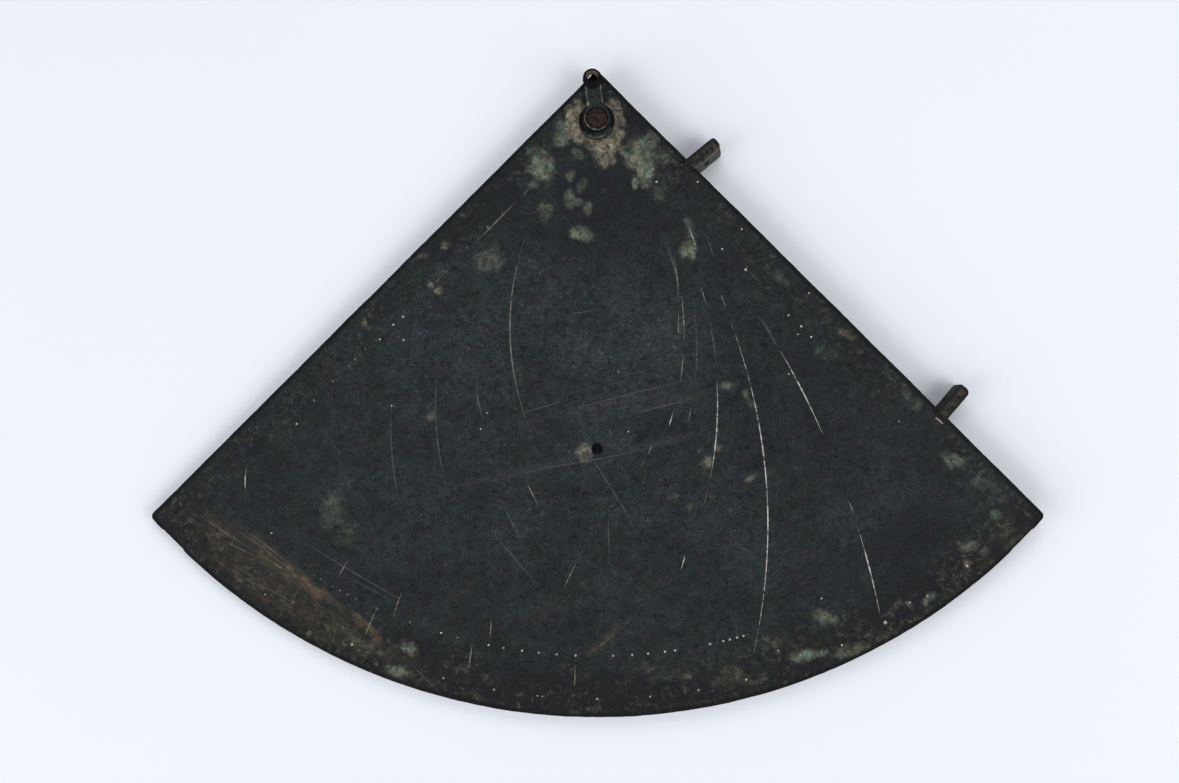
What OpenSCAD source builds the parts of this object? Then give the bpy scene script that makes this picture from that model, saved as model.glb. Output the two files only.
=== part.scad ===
// Small hand quadrant of cast copper alloy: a quarter-circle plate with hour lines and a dotted limb,
// two sight vanes on its right edge, and a plumb link that swings on a rivet near the quadrant's centre.
// The centre is the point from which the limb was drawn. The rivet was set a little below it.
// The origin is on the axis of the small hole in the middle of the plate, at the plate's back face.
// +Z leaves the engraved face, +Y points to the corner with the rivet, and +X to the side of the sights.

/* [Plate] */
// Radius of the limb about the quadrant's centre
limb_r = 90; // [70:1:110]
// Thickness of the plate
plate_t = 1.6; // [1.2:0.1:2.5]
// Distance from the quadrant's centre square out to each straight edge
edge_margin = 5.1; // [4.5:0.1:8]
// Rounding where the limb meets a straight edge
corner_r = 0.7; // [0.3:0.1:2]
// Distance from the quadrant's centre down to the small hole
hole_from_centre = 49.9; // [40:0.5:60]
// Radius of the small hole
hole_r = 0.87; // [0.5:0.01:1.5]

/* [Engraving] */
// Width of an engraved line at the face
line_w = 0.26; // [0.15:0.01:0.4]
// Depth of an engraved line
line_depth = 0.12; // [0.05:0.01:0.3]
// Radius of a punched dot
dot_r = 0.2; // [0.12:0.01:0.4]
// Depth of a punched dot
dot_depth = 0.15; // [0.05:0.01:0.3]
// Distance from the limb's edge in to the row of close dots
scale_inset = 9.1; // [6:0.1:14]
// Distance from the limb's edge in to the row of wide dots
outer_inset = 2.7; // [1.5:0.1:5]
// Angle between close dots
scale_step = 1.8; // [1.2:0.1:5]
// Angle between wide dots
outer_step = 5; // [3:1:15]

/* [Rivet and collar] */
// How far the rivet was set below the quadrant's centre
rivet_drop = 0.65; // [0:0.05:1]
// Radius of the rivet's shank
shank_r = 1.05; // [0.8:0.01:1.2]
// Radius of the peened end behind the plate
peen_r = 1.9; // [1.5:0.05:2.5]
// Height of the peened end behind the plate
peen_h = 0.7; // [0.4:0.05:1.2]
// Outer radius of the collar
collar_r = 1.88; // [1.6:0.01:2.4]
// Height of the collar
collar_h = 2.05; // [1.5:0.05:3]
// Thickness of the collar's floor, which the rivet's head clamps
collar_floor = 0.9; // [0.4:0.05:1.2]
// Thickness of the collar's rim around the rivet's head
rim_wall = 0.23; // [0.15:0.01:0.4]
// How far the rivet's head lies below the collar's rim
head_recess = 0.25; // [0.1:0.01:0.5]

/* [Plumb link] */
// Thickness of the link
link_t = 0.95; // [0.7:0.05:1.5]
// Outer radius of the link's ring
ring_r = 2.75; // [2.4:0.05:4]
// Distance from the rivet to the link's eye
eye_out = 6.5; // [5.5:0.1:9]
// Outer radius of the link's eye
eye_r = 1.43; // [1.2:0.01:2]
// Radius of the hole that the plumb line is tied through
eye_hole_r = 0.68; // [0.4:0.01:0.9]
// Width of the tongue between ring and eye
tongue_w = 2.5; // [1.8:0.1:2.8]
// Bevel along the tongue's two upper edges
tongue_bevel = 0.35; // [0.1:0.05:0.6]
// Lean of the link to the left of the line from the hole to the rivet
link_lean = 6; // [0:1:20]

/* [Sight vanes] */
// Distance of the upper vane from the corner with the rivet, along the right edge
upper_vane_at = 19.95; // [16:0.05:30]
// Distance of the lower vane from the limb's corner, along the right edge
lower_vane_from_limb = 21.5; // [16:0.1:30]
// Thickness of each vane, along the edge
vane_t = 2.0; // [1.6:0.1:2.4]
// How far each vane stands out of the edge
vane_out = 5.3; // [4.5:0.1:8]
// How far each vane reaches behind the plate's back
vane_drop = 1.8; // [1:0.1:3]
// How far each vane is let into the edge
tenon_depth = 0.75; // [0.5:0.05:1.5]
// Rounding of each vane's tip
tip_round = 0.6; // [0.2:0.05:0.9]
// Distance of the sight holes from the edge
sight_out = 2.2; // [1.8:0.1:3]
// Height of the sight holes' line above the plate's back
sight_z = -0.1; // [-0.5:0.05:0.3]
// Radius of the sight holes
sight_r = 0.45; // [0.3:0.01:0.6]
// Angle by which the upper vane is bent towards the limb
upper_vane_lean = 6; // [0:0.5:8]
// Angle by which the lower vane is bent towards the rivet
lower_vane_lean = 4.5; // [0:0.5:8]
// Angle by which the upper vane is twisted in its notch
upper_vane_twist = 14; // [0:0.5:16]
// Thickness of the solder at the inner end of each notch
solder_t = 0.45; // [0.2:0.05:0.8]

/* [Clearances] */
// Radial clearance of the link on the rivet's shank, in which it turns
link_fit = 0.06; // [0.02:0.01:0.1]
// Gap above and below the link's ring
link_gap = 0.12; // [0.08:0.01:0.2]
// Radial clearance of plate and collar on the rivet's shank
shank_fit = 0.02; // [0.01:0.01:0.05]
// Radial clearance of the rivet's head in the collar's rim
head_fit = 0.02; // [0.01:0.01:0.05]
// Clearance at each side of a vane in its notch
notch_fit = 0.03; // [0.01:0.01:0.1]

/* [Hidden] */

PATINA = [0.20, 0.24, 0.23];
DARK_PATINA = [0.13, 0.17, 0.18];
RUST = [0.42, 0.26, 0.20];
WORN_BRONZE = [0.36, 0.32, 0.24];
SOLDER = [0.72, 0.71, 0.64];

// Cutters pass the faces that they open by this much
over = 1;
// A line's cutter starts just above the face
line_over = 0.02;
// Steps of each rounded corner in plan
corner_steps = 6;

// Half of the quarter circle, and the direction of each straight edge
half_angle = 45;
// The plate's corner, measured from the quadrant's centre
apex_out = edge_margin * sqrt(2);
apex_y = hole_from_centre + apex_out;
edge_length = edge_margin + sqrt(limb_r * limb_r - edge_margin * edge_margin);
lower_vane_at = edge_length - lower_vane_from_limb;
scale_r = limb_r - scale_inset;
outer_r = limb_r - outer_inset;

// Heights of the pieces stacked on the rivet
link_z = plate_t + link_gap;
collar_z = link_z + link_t + link_gap;
head_z = collar_z + collar_floor;
head_top = collar_z + collar_h - head_recess;
head_r = collar_r - rim_wall - head_fit;
// Sphere whose cap is the peened end
peen_ball_r = (peen_r * peen_r + peen_h * peen_h) / (2 * peen_h);

// The hour lines are arcs of circles that run through the quadrant's centre. A circle of the left family
// has its centre on the left margin line and one of the right family on the right margin line.
// Each is written as [radius, nearest distance from the centre, farthest distance], as shares of limb_r.
LEFT_HOURS = [
    [0.473, 0.317, 0.511], [0.507, 0.229, 0.510], [0.573, 0.337, 0.528], [0.673, 0.332, 0.658],
    [0.971, 0.373, 0.930], [1.430, 0.427, 0.651], [1.430, 0.771, 0.960]
];
RIGHT_HOURS = [[0.460, 0.226, 0.660]];
// Dots punched along each margin line: distances from the centre, as shares of limb_r
LEFT_DOTS = [0.22, 0.26, 0.31, 0.36, 0.47, 0.49, 0.52, 0.55, 0.57, 0.59, 0.62, 0.67, 0.72];
RIGHT_DOTS = [0.35, 0.40, 0.46, 0.49, 0.56];
// Stretch of each margin line that is engraved, as shares of limb_r
MARGIN_LINE = [0.12, 0.90];
// Strokes that are left of the limb's divisions, on its left half: each is written as
// [angle from the limb's middle, inner end, outer end], the two ends as shares of limb_r
LIMB_STROKES = [
    [2.3, 0.911, 0.952], [13.2, 0.900, 0.952], [24.1, 0.900, 0.952],
    [11.7, 0.854, 0.889], [22.2, 0.857, 0.893], [29.4, 0.846, 0.879]
];

// Moves a child from the origin to the quadrant's centre
module at_centre() {
    translate([0, hole_from_centre, 0]) children();
}

// Moves a child from the origin to the rivet's axis
module at_rivet() {
    translate([0, hole_from_centre - rivet_drop, 0]) children();
}

// Corner between a straight edge and the limb, right side, measured from the quadrant's centre.
// Its circle passes the limb by a hair, so that the limb's cylinder cuts across it.
corner_pass = 0.01;
corner_in = edge_margin - corner_r;
corner_reach = limb_r + corner_pass - corner_r;
corner_along = sqrt(corner_reach * corner_reach - corner_in * corner_in);
corner_centre = [
    (corner_in + corner_along) * cos(half_angle),
    (corner_in - corner_along) * sin(half_angle)
];
corner_end = atan2(corner_centre[1], corner_centre[0]);
right_corner = [
    for (i = [0:corner_steps])
        let (a = half_angle + (corner_end - half_angle) * i / corner_steps)
            corner_centre + corner_r * [cos(a), sin(a)]
];
left_corner = [for (i = [corner_steps:-1:0]) [-right_corner[i][0], right_corner[i][1]]];

module plate_outline() {
    polygon(concat(
        [[0, apex_out]],
        right_corner,
        [[0, limb_r / sin(corner_end)]],
        left_corner
    ));
}

// One engraved arc about the origin, cut into the face
module arc_line(r, from, to) {
    rotate([0, 0, from])
        rotate_extrude(angle = to - from, $fn = 180)
            polygon([[r - line_w / 2, line_over], [r, -line_depth], [r + line_w / 2, line_over]]);
}

// Turn about an hour circle's centre to a point at the given distance from the quadrant's centre
function hour_turn(r, distance) = 2 * acos(distance / (2 * r));

// An hour line whose circle's centre lies on the margin line in this direction; side is 1 or -1
module hour_line(h, direction, side) {
    r = h[0] * limb_r;
    near = direction + side * hour_turn(r, h[1] * limb_r);
    far = direction + side * hour_turn(r, h[2] * limb_r);
    translate([r * cos(direction), r * sin(direction), 0])
        arc_line(r, min(near, far), max(near, far));
}

// A straight engraved line that points away from the quadrant's centre
module straight_line(direction, from, to) {
    rotate([90, 0, direction + 90])
        translate([0, 0, from])
            linear_extrude(to - from)
                polygon([[-line_w / 2, line_over], [0, -line_depth], [line_w / 2, line_over]]);
}

module dot(direction, distance) {
    rotate([0, 0, direction])
        translate([distance, 0, -dot_depth])
            cylinder(r = dot_r, h = dot_depth + line_over, $fn = 8);
}

module engraving() {
    left = 180 + half_angle;
    right = -half_angle;
    for (h = LEFT_HOURS) hour_line(h, left, 1);
    for (h = RIGHT_HOURS) hour_line(h, right, -1);
    for (d = [left, right]) straight_line(d, MARGIN_LINE[0] * limb_r, MARGIN_LINE[1] * limb_r);
    for (s = LIMB_STROKES) straight_line(-90 - s[0], s[1] * limb_r, s[2] * limb_r);
    for (d = LEFT_DOTS) dot(left, d * limb_r);
    for (d = RIGHT_DOTS) dot(right, d * limb_r);
    scale_count = floor((half_angle - 3) / scale_step);
    for (i = [-scale_count:scale_count]) dot(-90 + i * scale_step, scale_r);
    outer_count = floor((half_angle - 3) / outer_step);
    for (i = [-outer_count:outer_count]) dot(-90 + i * outer_step, outer_r);
}

// Puts a vane, its notch or its solder at its place on the right edge.
// Its own +Y leaves the edge, +X runs along the edge towards the limb.
module on_edge(along, lean, twist) {
    translate([along * cos(half_angle), apex_y - along * sin(half_angle), plate_t])
        rotate([0, 0, lean - half_angle])
            rotate([0, -twist, 0])
                translate([0, 0, -plate_t])
                    children();
}

module at_upper_vane() {
    on_edge(upper_vane_at, -upper_vane_lean, upper_vane_twist) children();
}

module at_lower_vane() {
    on_edge(lower_vane_at, lower_vane_lean, 0) children();
}

module notch() {
    width = vane_t + 2 * notch_fit;
    depth = tenon_depth + solder_t;
    translate([-width / 2, -depth, -over]) cube([width, depth + over, plate_t + 2 * over]);
}

// The solder fills the inner end of a notch, between the plate's two faces
module notch_end() {
    width = vane_t + 2 * notch_fit;
    translate([-width / 2, -tenon_depth - solder_t, -over]) cube([width, solder_t, plate_t + 2 * over]);
}

module plate_slab() {
    translate([-limb_r, -limb_r, 0]) cube([2 * limb_r, 2 * limb_r + apex_y, plate_t]);
}

// Side view of a vane: tenon in the notch, body outside with a rounded tip
module vane_side() {
    steps = 5;
    top = [for (i = [0:steps]) let (a = 90 - 90 * i / steps)
        [vane_out - tip_round + tip_round * cos(a), plate_t - tip_round + tip_round * sin(a)]];
    bottom = [for (i = [0:steps]) let (a = -90 * i / steps)
        [vane_out - tip_round + tip_round * cos(a), -vane_drop + tip_round + tip_round * sin(a)]];
    polygon(concat([[-tenon_depth, 0], [-tenon_depth, plate_t]], top, bottom, [[0, -vane_drop], [0, 0]]));
}

// Plan of a vane, with the two corners of its tip cut off
module vane_plan() {
    half = vane_t / 2;
    cut = tip_round / 2;
    polygon([
        [-half, -tenon_depth], [half, -tenon_depth], [half, vane_out - tip_round],
        [half - cut, vane_out], [cut - half, vane_out], [-half, vane_out - cut]
    ]);
}

module vane() {
    difference() {
        intersection() {
            translate([-vane_t / 2, 0, 0])
                rotate([90, 0, 90])
                    linear_extrude(vane_t)
                        vane_side();
            translate([0, 0, -vane_drop]) linear_extrude(vane_drop + plate_t) vane_plan();
        }
        translate([-vane_t / 2 - over, sight_out, sight_z])
            rotate([0, 90, 0])
                cylinder(r = sight_r, h = vane_t + 2 * over, $fn = 32);
    }
}

module quadrant_plate() {
    color(PATINA)
        difference() {
            intersection() {
                at_centre() cylinder(r = limb_r, h = plate_t, $fn = 360);
                at_centre() linear_extrude(plate_t) plate_outline();
            }
            translate([0, 0, -over]) cylinder(r = hole_r, h = plate_t + 2 * over, $fn = 48);
            at_rivet()
                translate([0, 0, -over])
                    cylinder(r = shank_r + shank_fit, h = plate_t + 2 * over, $fn = 48);
            at_upper_vane() notch();
            at_lower_vane() notch();
            at_centre() translate([0, 0, plate_t]) engraving();
        }
}

module centre_rivet() {
    color(RUST)
        at_rivet() {
            cylinder(r = shank_r, h = head_top, $fn = 48);
            translate([0, 0, head_z]) cylinder(r = head_r, h = head_top - head_z, $fn = 64);
            intersection() {
                translate([0, 0, peen_ball_r - peen_h]) sphere(r = peen_ball_r, $fn = 96);
                translate([0, 0, -peen_h]) cylinder(r = peen_r, h = peen_h, $fn = 64);
            }
        }
}

module rivet_collar() {
    cup_r = collar_r - rim_wall;
    color(DARK_PATINA)
        at_rivet()
            translate([0, 0, collar_z])
                difference() {
                    cylinder(r = collar_r, h = collar_h, $fn = 64);
                    translate([0, 0, -over])
                        cylinder(r = shank_r + shank_fit, h = collar_h + 2 * over, $fn = 48);
                    translate([0, 0, collar_floor]) cylinder(r = cup_r, h = collar_h, $fn = 64);
                }
}

module plumb_link() {
    half = tongue_w / 2;
    color(PATINA)
        at_rivet()
            rotate([0, 0, link_lean])
                translate([0, 0, link_z])
                    difference() {
                        union() {
                            cylinder(r = ring_r, h = link_t, $fn = 96);
                            translate([0, eye_out, 0]) cylinder(r = eye_r, h = link_t, $fn = 64);
                            rotate([90, 0, 180])
                                linear_extrude(eye_out)
                                    polygon([
                                        [-half, 0], [half, 0], [half, link_t - tongue_bevel],
                                        [half - tongue_bevel, link_t], [tongue_bevel - half, link_t],
                                        [-half, link_t - tongue_bevel]
                                    ]);
                        }
                        translate([0, 0, -over])
                            cylinder(r = shank_r + link_fit, h = link_t + 2 * over, $fn = 64);
                        translate([0, eye_out, -over])
                            cylinder(r = eye_hole_r, h = link_t + 2 * over, $fn = 48);
                    }
}

module upper_sight_vane() {
    color(WORN_BRONZE) at_upper_vane() vane();
}

module lower_sight_vane() {
    color(WORN_BRONZE) at_lower_vane() vane();
}

module upper_vane_solder() {
    color(SOLDER)
        intersection() {
            at_upper_vane() notch_end();
            plate_slab();
        }
}

module lower_vane_solder() {
    color(SOLDER)
        intersection() {
            at_lower_vane() notch_end();
            plate_slab();
        }
}

quadrant_plate();
centre_rivet();
rivet_collar();
plumb_link();
upper_sight_vane();
lower_sight_vane();
upper_vane_solder();
lower_vane_solder();
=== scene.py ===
"""Small hand quadrant of cast copper alloy, dark with age, lying on a pale surface.

Lengths are in millimetres until a piece is finished, when its mesh is scaled to metres. The surroundings
are in metres. The frame is the part's own: +Z leaves the engraved face, +Y points to the rivet's corner.
"""
import math

import bmesh
import bpy
import numpy as np
from mathutils import Matrix, Vector, noise


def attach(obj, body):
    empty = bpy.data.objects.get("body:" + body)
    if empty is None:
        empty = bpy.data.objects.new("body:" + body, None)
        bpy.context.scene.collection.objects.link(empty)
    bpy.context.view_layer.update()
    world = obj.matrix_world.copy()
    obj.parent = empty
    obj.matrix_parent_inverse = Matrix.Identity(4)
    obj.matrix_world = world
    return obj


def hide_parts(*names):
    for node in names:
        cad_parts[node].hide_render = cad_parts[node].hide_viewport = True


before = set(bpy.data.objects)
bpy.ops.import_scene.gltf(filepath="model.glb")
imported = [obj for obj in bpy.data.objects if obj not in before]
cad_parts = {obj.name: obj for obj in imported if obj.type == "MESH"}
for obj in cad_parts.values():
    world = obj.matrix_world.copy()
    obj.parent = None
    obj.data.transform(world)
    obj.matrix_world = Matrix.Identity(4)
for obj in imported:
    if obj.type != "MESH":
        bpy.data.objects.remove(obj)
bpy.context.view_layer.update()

MM = 0.001

# Sizes of the plate, which is drawn from the quadrant's centre
LIMB_R = 90.0
PLATE_T = 1.6
EDGE_MARGIN = 5.1
CORNER_R = 0.7
APEX_R = 0.3
CENTRE_Y = 49.9
HOLE_R = 0.87
CENTRE = Vector((0, CENTRE_Y, 0))
APEX_Y = CENTRE_Y + EDGE_MARGIN * math.sqrt(2)
EDGE_LENGTH = EDGE_MARGIN + math.sqrt(LIMB_R ** 2 - EDGE_MARGIN ** 2)
SIN_45 = math.sqrt(0.5)
GRID_STEP = 0.5
RIM_BEVEL = 0.14
CRUSTY_REACH = 13.0

# Sizes of the rivet, its collar and the link
RIVET_DROP = 0.65
RIVET_Y = CENTRE_Y - RIVET_DROP
RIVET = Vector((0, RIVET_Y, 0))
SHANK_R = 1.05
PEEN_R = 1.9
PEEN_H = 0.7
COLLAR_R = 1.88
RIM_WALL = 0.23
LINK_Z = 1.72
LINK_T = 0.95
LINK_TOP = LINK_Z + LINK_T
LINK_LEAN = 6
RING_R = 2.75
RING_BORE = 1.11
EYE_OUT = 6.5
EYE_R = 1.43
EYE_HOLE_R = 0.68
TONGUE_W = 2.5
COLLAR_Z = 2.79
COLLAR_TOP = 4.84
HEAD_Z = 3.69
HEAD_TOP = 4.59
HEAD_R = 1.63

# Sizes of the sight vanes
VANE_T = 2.0
VANE_OUT = 5.3
VANE_DROP = 1.8
TENON_DEPTH = 0.75
SOLDER_T = 0.45
NOTCH_FIT = 0.03
SIGHT_OUT = 2.2
SIGHT_Z = -0.1
SIGHT_R = 0.45
UPPER_VANE_AT = 19.95
LOWER_VANE_AT = EDGE_LENGTH - 21.5
UPPER_VANE_TURNS = (-6, 14)
LOWER_VANE_TURNS = (4.5, 0)

# Rows of punched dots: how far they lie from the quadrant's centre, and the directions of the straight edges
LIMB_DOTS_AT = 80.9
RIM_DOTS_AT = 87.3
LEFT_EDGE_WAY = 225
RIGHT_EDGE_WAY = 315

# Radii of the punched dots
LIMB_DOT_R = 0.175
RIM_DOT_R = 0.22
LONE_DOT_R = 0.21
DULL_DOT_R = 0.16
MARGIN_DOT_R = 0.17

# Width and depth of each kind of cut line
BRIGHT_LINE = (0.165, 0.08)
WORN_LINE = (0.16, 0.07)
FAINT_LINE = (0.17, 0.06)
SCRATCH_LINE = (0.15, 0.045)
COPPER_LINE = (0.22, 0.04)

# How far the cutters of the lines stand above the face
CUTTER_RISE = 0.16

# Direction in which the copper at the lower left was rubbed
RUB_WAY = -35

# Heights at which noise is read for the face, for the crusts on the back and for the back's waves
FACE_LEVEL = 0.0
BACK_CRUST_LEVEL = 30.0
BACK_WAVE_LEVEL = 40.0


def fade(value, start, end):
    """Smooth step from 0 at start to 1 at end, which may lie below start."""
    t = np.clip((value - start) / (end - start), 0, 1)
    return t * t * (3 - 2 * t)


def noise_at(points, size, seed):
    """Smooth noise between about -1 and 1 at each point, with lumps of the given size."""
    shift = Vector((seed, 1.7 * seed, -0.6 * seed))
    return np.array([noise.noise(Vector(p) / size + shift) for p in points])


def at_level(points, level):
    """The points, all brought to one height."""
    return np.column_stack((points[:, 0], points[:, 1], np.full(len(points), level)))


# Engraving: the hour lines are arcs, written as [centre x, centre y, radius, first and last direction].
# Lines are sorted by how much of their metal still shows: bright, worn or faint.
ARCS_BRIGHT = [
    [-60.5, -11.2, 86.1, 20.6, -13.1], [-83.9, -49.4, 128.6, 29.9, 23.6],
    [-83.9, -49.4, 128.6, 16.9, 11.1], [-36.9, 6.7, 55.0, 3.8, -11.6]
]
ARCS_WORN = [
    [27.8, 18.3, 40.9, 159.6, 203.4], [-36.9, 6.7, 55.4, 18.4, 15.6], [-29.4, 17.2, 42.5, 7.9, -2.0],
    [-29.4, 17.2, 42.5, -4.0, -9.4], [-83.9, -49.4, 128.6, 18.9, 17.9], [-32.0, 15.2, 47.0, -11.2, -13.6]
]
ARCS_FAINT = [
    [-29.4, 17.2, 42.2, 21.5, 9.0], [-32.0, 15.2, 47.0, 10.0, -10.2], [-83.9, -49.4, 128.6, 32.7, 30.3],
    [-36.9, 6.7, 55.2, 14.6, 5.0], [-36.9, 6.7, 55.0, -12.6, -16.5], [19.4, 3.4, 50.4, 172, 197.5],
    [24.0, 6.9, 48.3, 170, 199], [28.0, 8.0, 46.0, 175, 184]
]
# Strokes and straight lines: points that each runs through, in the plane of the face
STROKES_BRIGHT = [
    [(13.2, -16.0), (12.5, -18.3)], [(11.4, 5.4), (10.8, 3.4)], [(13.9, 33.2), (14.9, 30.5)],
    [(-52.7, -2.7), (-52.9, -4.4), (-52.9, -6.0)]
]
STROKES_WORN = [
    [(-3.3, -32.4), (-3.4, -35.6)], [(-18.6, -28.5), (-19.4, -33.6)], [(-15.8, -25.4), (-16.1, -28.5)],
    [(-33.1, -24.0), (-35.0, -28.3)], [(-37.3, -16.5), (-38.9, -19.2)],
    [(-10.8, -4.6), (-9.8, -6.6), (-8.7, -8.8)], [(-3.2, -17.2), (-4.1, -19.0), (-5.1, -21.0)],
    [(11.5, 29.4), (12.1, 25.5), (12.3, 21.4)], [(12.3, 20.6), (12.2, 16.6)],
    [(-18.3, 31.1), (-12.0, 37.4)], [(18.6, 23.2), (19.4, 21.3)], [(8.4, 0.8), (7.6, -0.9)],
    [(-29.3, -21.4), (-30.6, -24.9)]
]
STROKES_FAINT = [
    [(-38.8, 0.3), (-38.6, -2.2)], [(-14.3, -36.1), (-14.1, -37.0)], [(-9.6, -36.8), (-9.8, -38.0)],
    [(-4.3, -37.3), (-4.3, -38.5)], [(-2.0, -14.7), (-3.2, -17.0)], [(-7.8, -10.5), (-8.5, -9.2)],
    [(7.4, -1.4), (6.3, -3.0)], [(7.3, -4.2), (6.7, -5.4)], [(3.0, -7.8), (1.8, -9.0)],
    [(1.8, -9.7), (1.7, -13.0), (1.8, -16.5)], [(20.8, -26.3), (20.9, -28.1)],
    [(-15.0, -6.7), (-13.1, -10.5), (-10.8, -15.0)], [(-20.5, 28.9), (-26.5, 22.9)],
    [(-18.4, 10.7), (-17.9, 7.5), (-17.0, 3.4)], [(22.2, 27.3), (24.6, 24.9)],
    [(25.4, 18.4), (27.2, 15.0)], [(-11.8, 37.6), (-9.4, 40.0)], [(16.4, 32.6), (17.6, 28.6)]
]

# Dots of the limb's scale that still shine, and those that don't: directions in degrees from the limb's
# middle, to the right
LIMB_DOTS_BRIGHT = [
    -16.8, -11.6, -10.0, -8.0, -6.2, -4.3, -2.3, 1.7, 3.7, 5.4, 7.2, 8.3, 12.05, 13.5, 14.2, 15.0, 15.7
]
LIMB_DOTS_DULL = [
    -31.7, -30.9, -29.4, -28.5, -27.6, -26.6, -24.1, -22.1, -20.3, -15.0, 12.8, 16.2
]
# Wide dots near the rim, and how large each is
RIM_DOTS = [
    [-34.8, 0.6], [-24.9, 0.9], [-15.3, 0.9], [-10.2, 0.8], [-5.9, 0.5], [-5.4, 0.5], [0, 0.8],
    [5.2, 0.7], [10.0, 0.8], [14.8, 0.8], [24.8, 0.8], [29.6, 1.25], [34.5, 0.8], [39.4, 0.8]
]
# Dots along the two straight edges: how far each lies from the quadrant's centre
LEFT_MARGIN_DOTS = [20.2, 23.3, 27.7, 32.7, 49.3, 51.5, 52.8, 56.2, 60.2]
RIGHT_MARGIN_DOTS = [31.9, 36.4, 50.8]
# Lone dots: place and how large each is
LONE_DOTS = [
    [21.8, 33.05, 0.8], [18.85, 30.05, 0.8], [31.9, 23.4, 0.7], [32.2, 16.8, 0.8], [30.2, 17.2, 0.6],
    [30.7, 18.4, 0.9], [28.8, 20.1, 0.8], [28.8, 11.2, 0.6], [9.0, 40.2, 0.9], [15.2, 40.2, 0.7],
    [-29.1, 16.4, 0.9], [-16.5, 5.4, 0.6], [-17.5, 3.0, 0.6], [-30.9, 6.5, 0.6], [3.2, 11.6, 0.5],
    [4.7, 2.6, 0.6], [45.3, 4.1, 0.7], [33.6, -22.4, 0.7], [27.1, -30.2, 0.7], [46.8, -23.0, 0.7],
    [22.4, 26.95, 1.0], [-48.9, -12.6, 0.6], [-29.2, 19.9, 0.8], [-30.65, 18.7, 0.8], [-32.7, 16.5, 0.7],
    [-45.2, 3.8, 0.8]
]

# Scratches that cross the engraving
SCRATCHES = [
    [(-11.0, 4.1), (4.0, 8.0), (20.0, 11.8)], [(-20.6, -6.6), (-10.0, -3.4), (1.8, -1.2), (14.5, 1.6)],
    [(3.0, 4.7), (17.6, 8.3)], [(-44.8, -13.5), (-37.9, -17.7), (-29.6, -22.5), (-25.9, -24.3)],
    [(-38.4, -18.6), (-30.1, -23.1)], [(-28.4, -31.6), (-26.2, -33.9), (-23.9, -36.1)],
    [(20.3, -14.3), (23.4, -15.5)], [(-5.1, 20.2), (0.5, 20.9)], [(-14.0, 4.6), (-3.0, 7.8)],
    [(-17.0, -11.0), (-8.0, -21.5)], [(-3.5, 3.0), (4.0, -9.0), (6.5, -14.0)]
]
# Coarse rubbing marks of bare copper at the lower left
RUBBED_SCRATCHES = [
    [(-59.6, -9.9), (-55.5, -12.8), (-51.0, -15.5)], [(-55.5, -11.2), (-50.0, -15.0), (-44.7, -19.5)],
    [(-51.0, -15.5), (-48.4, -17.3), (-45.1, -19.1)], [(-48.4, -17.0), (-43.8, -20.2), (-39.4, -23.2)],
    [(-56.7, -13.5), (-51.0, -16.2)], [(-47.0, -17.6), (-42.2, -21.0), (-38.6, -23.0)],
    [(-45.4, -19.6), (-41.0, -22.6)], [(-37.9, -23.7), (-35.2, -25.8), (-32.8, -27.7)],
    [(-36.8, -24.0), (-33.6, -26.9)], [(-53.7, -19.2), (-49.0, -21.2), (-44.7, -23.6)],
    [(-55.2, -17.2), (-50.8, -19.6)], [(-52.2, -12.6), (-46.4, -17.0)], [(3.0, -27.6), (-1.2, -30.6)]
]

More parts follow.
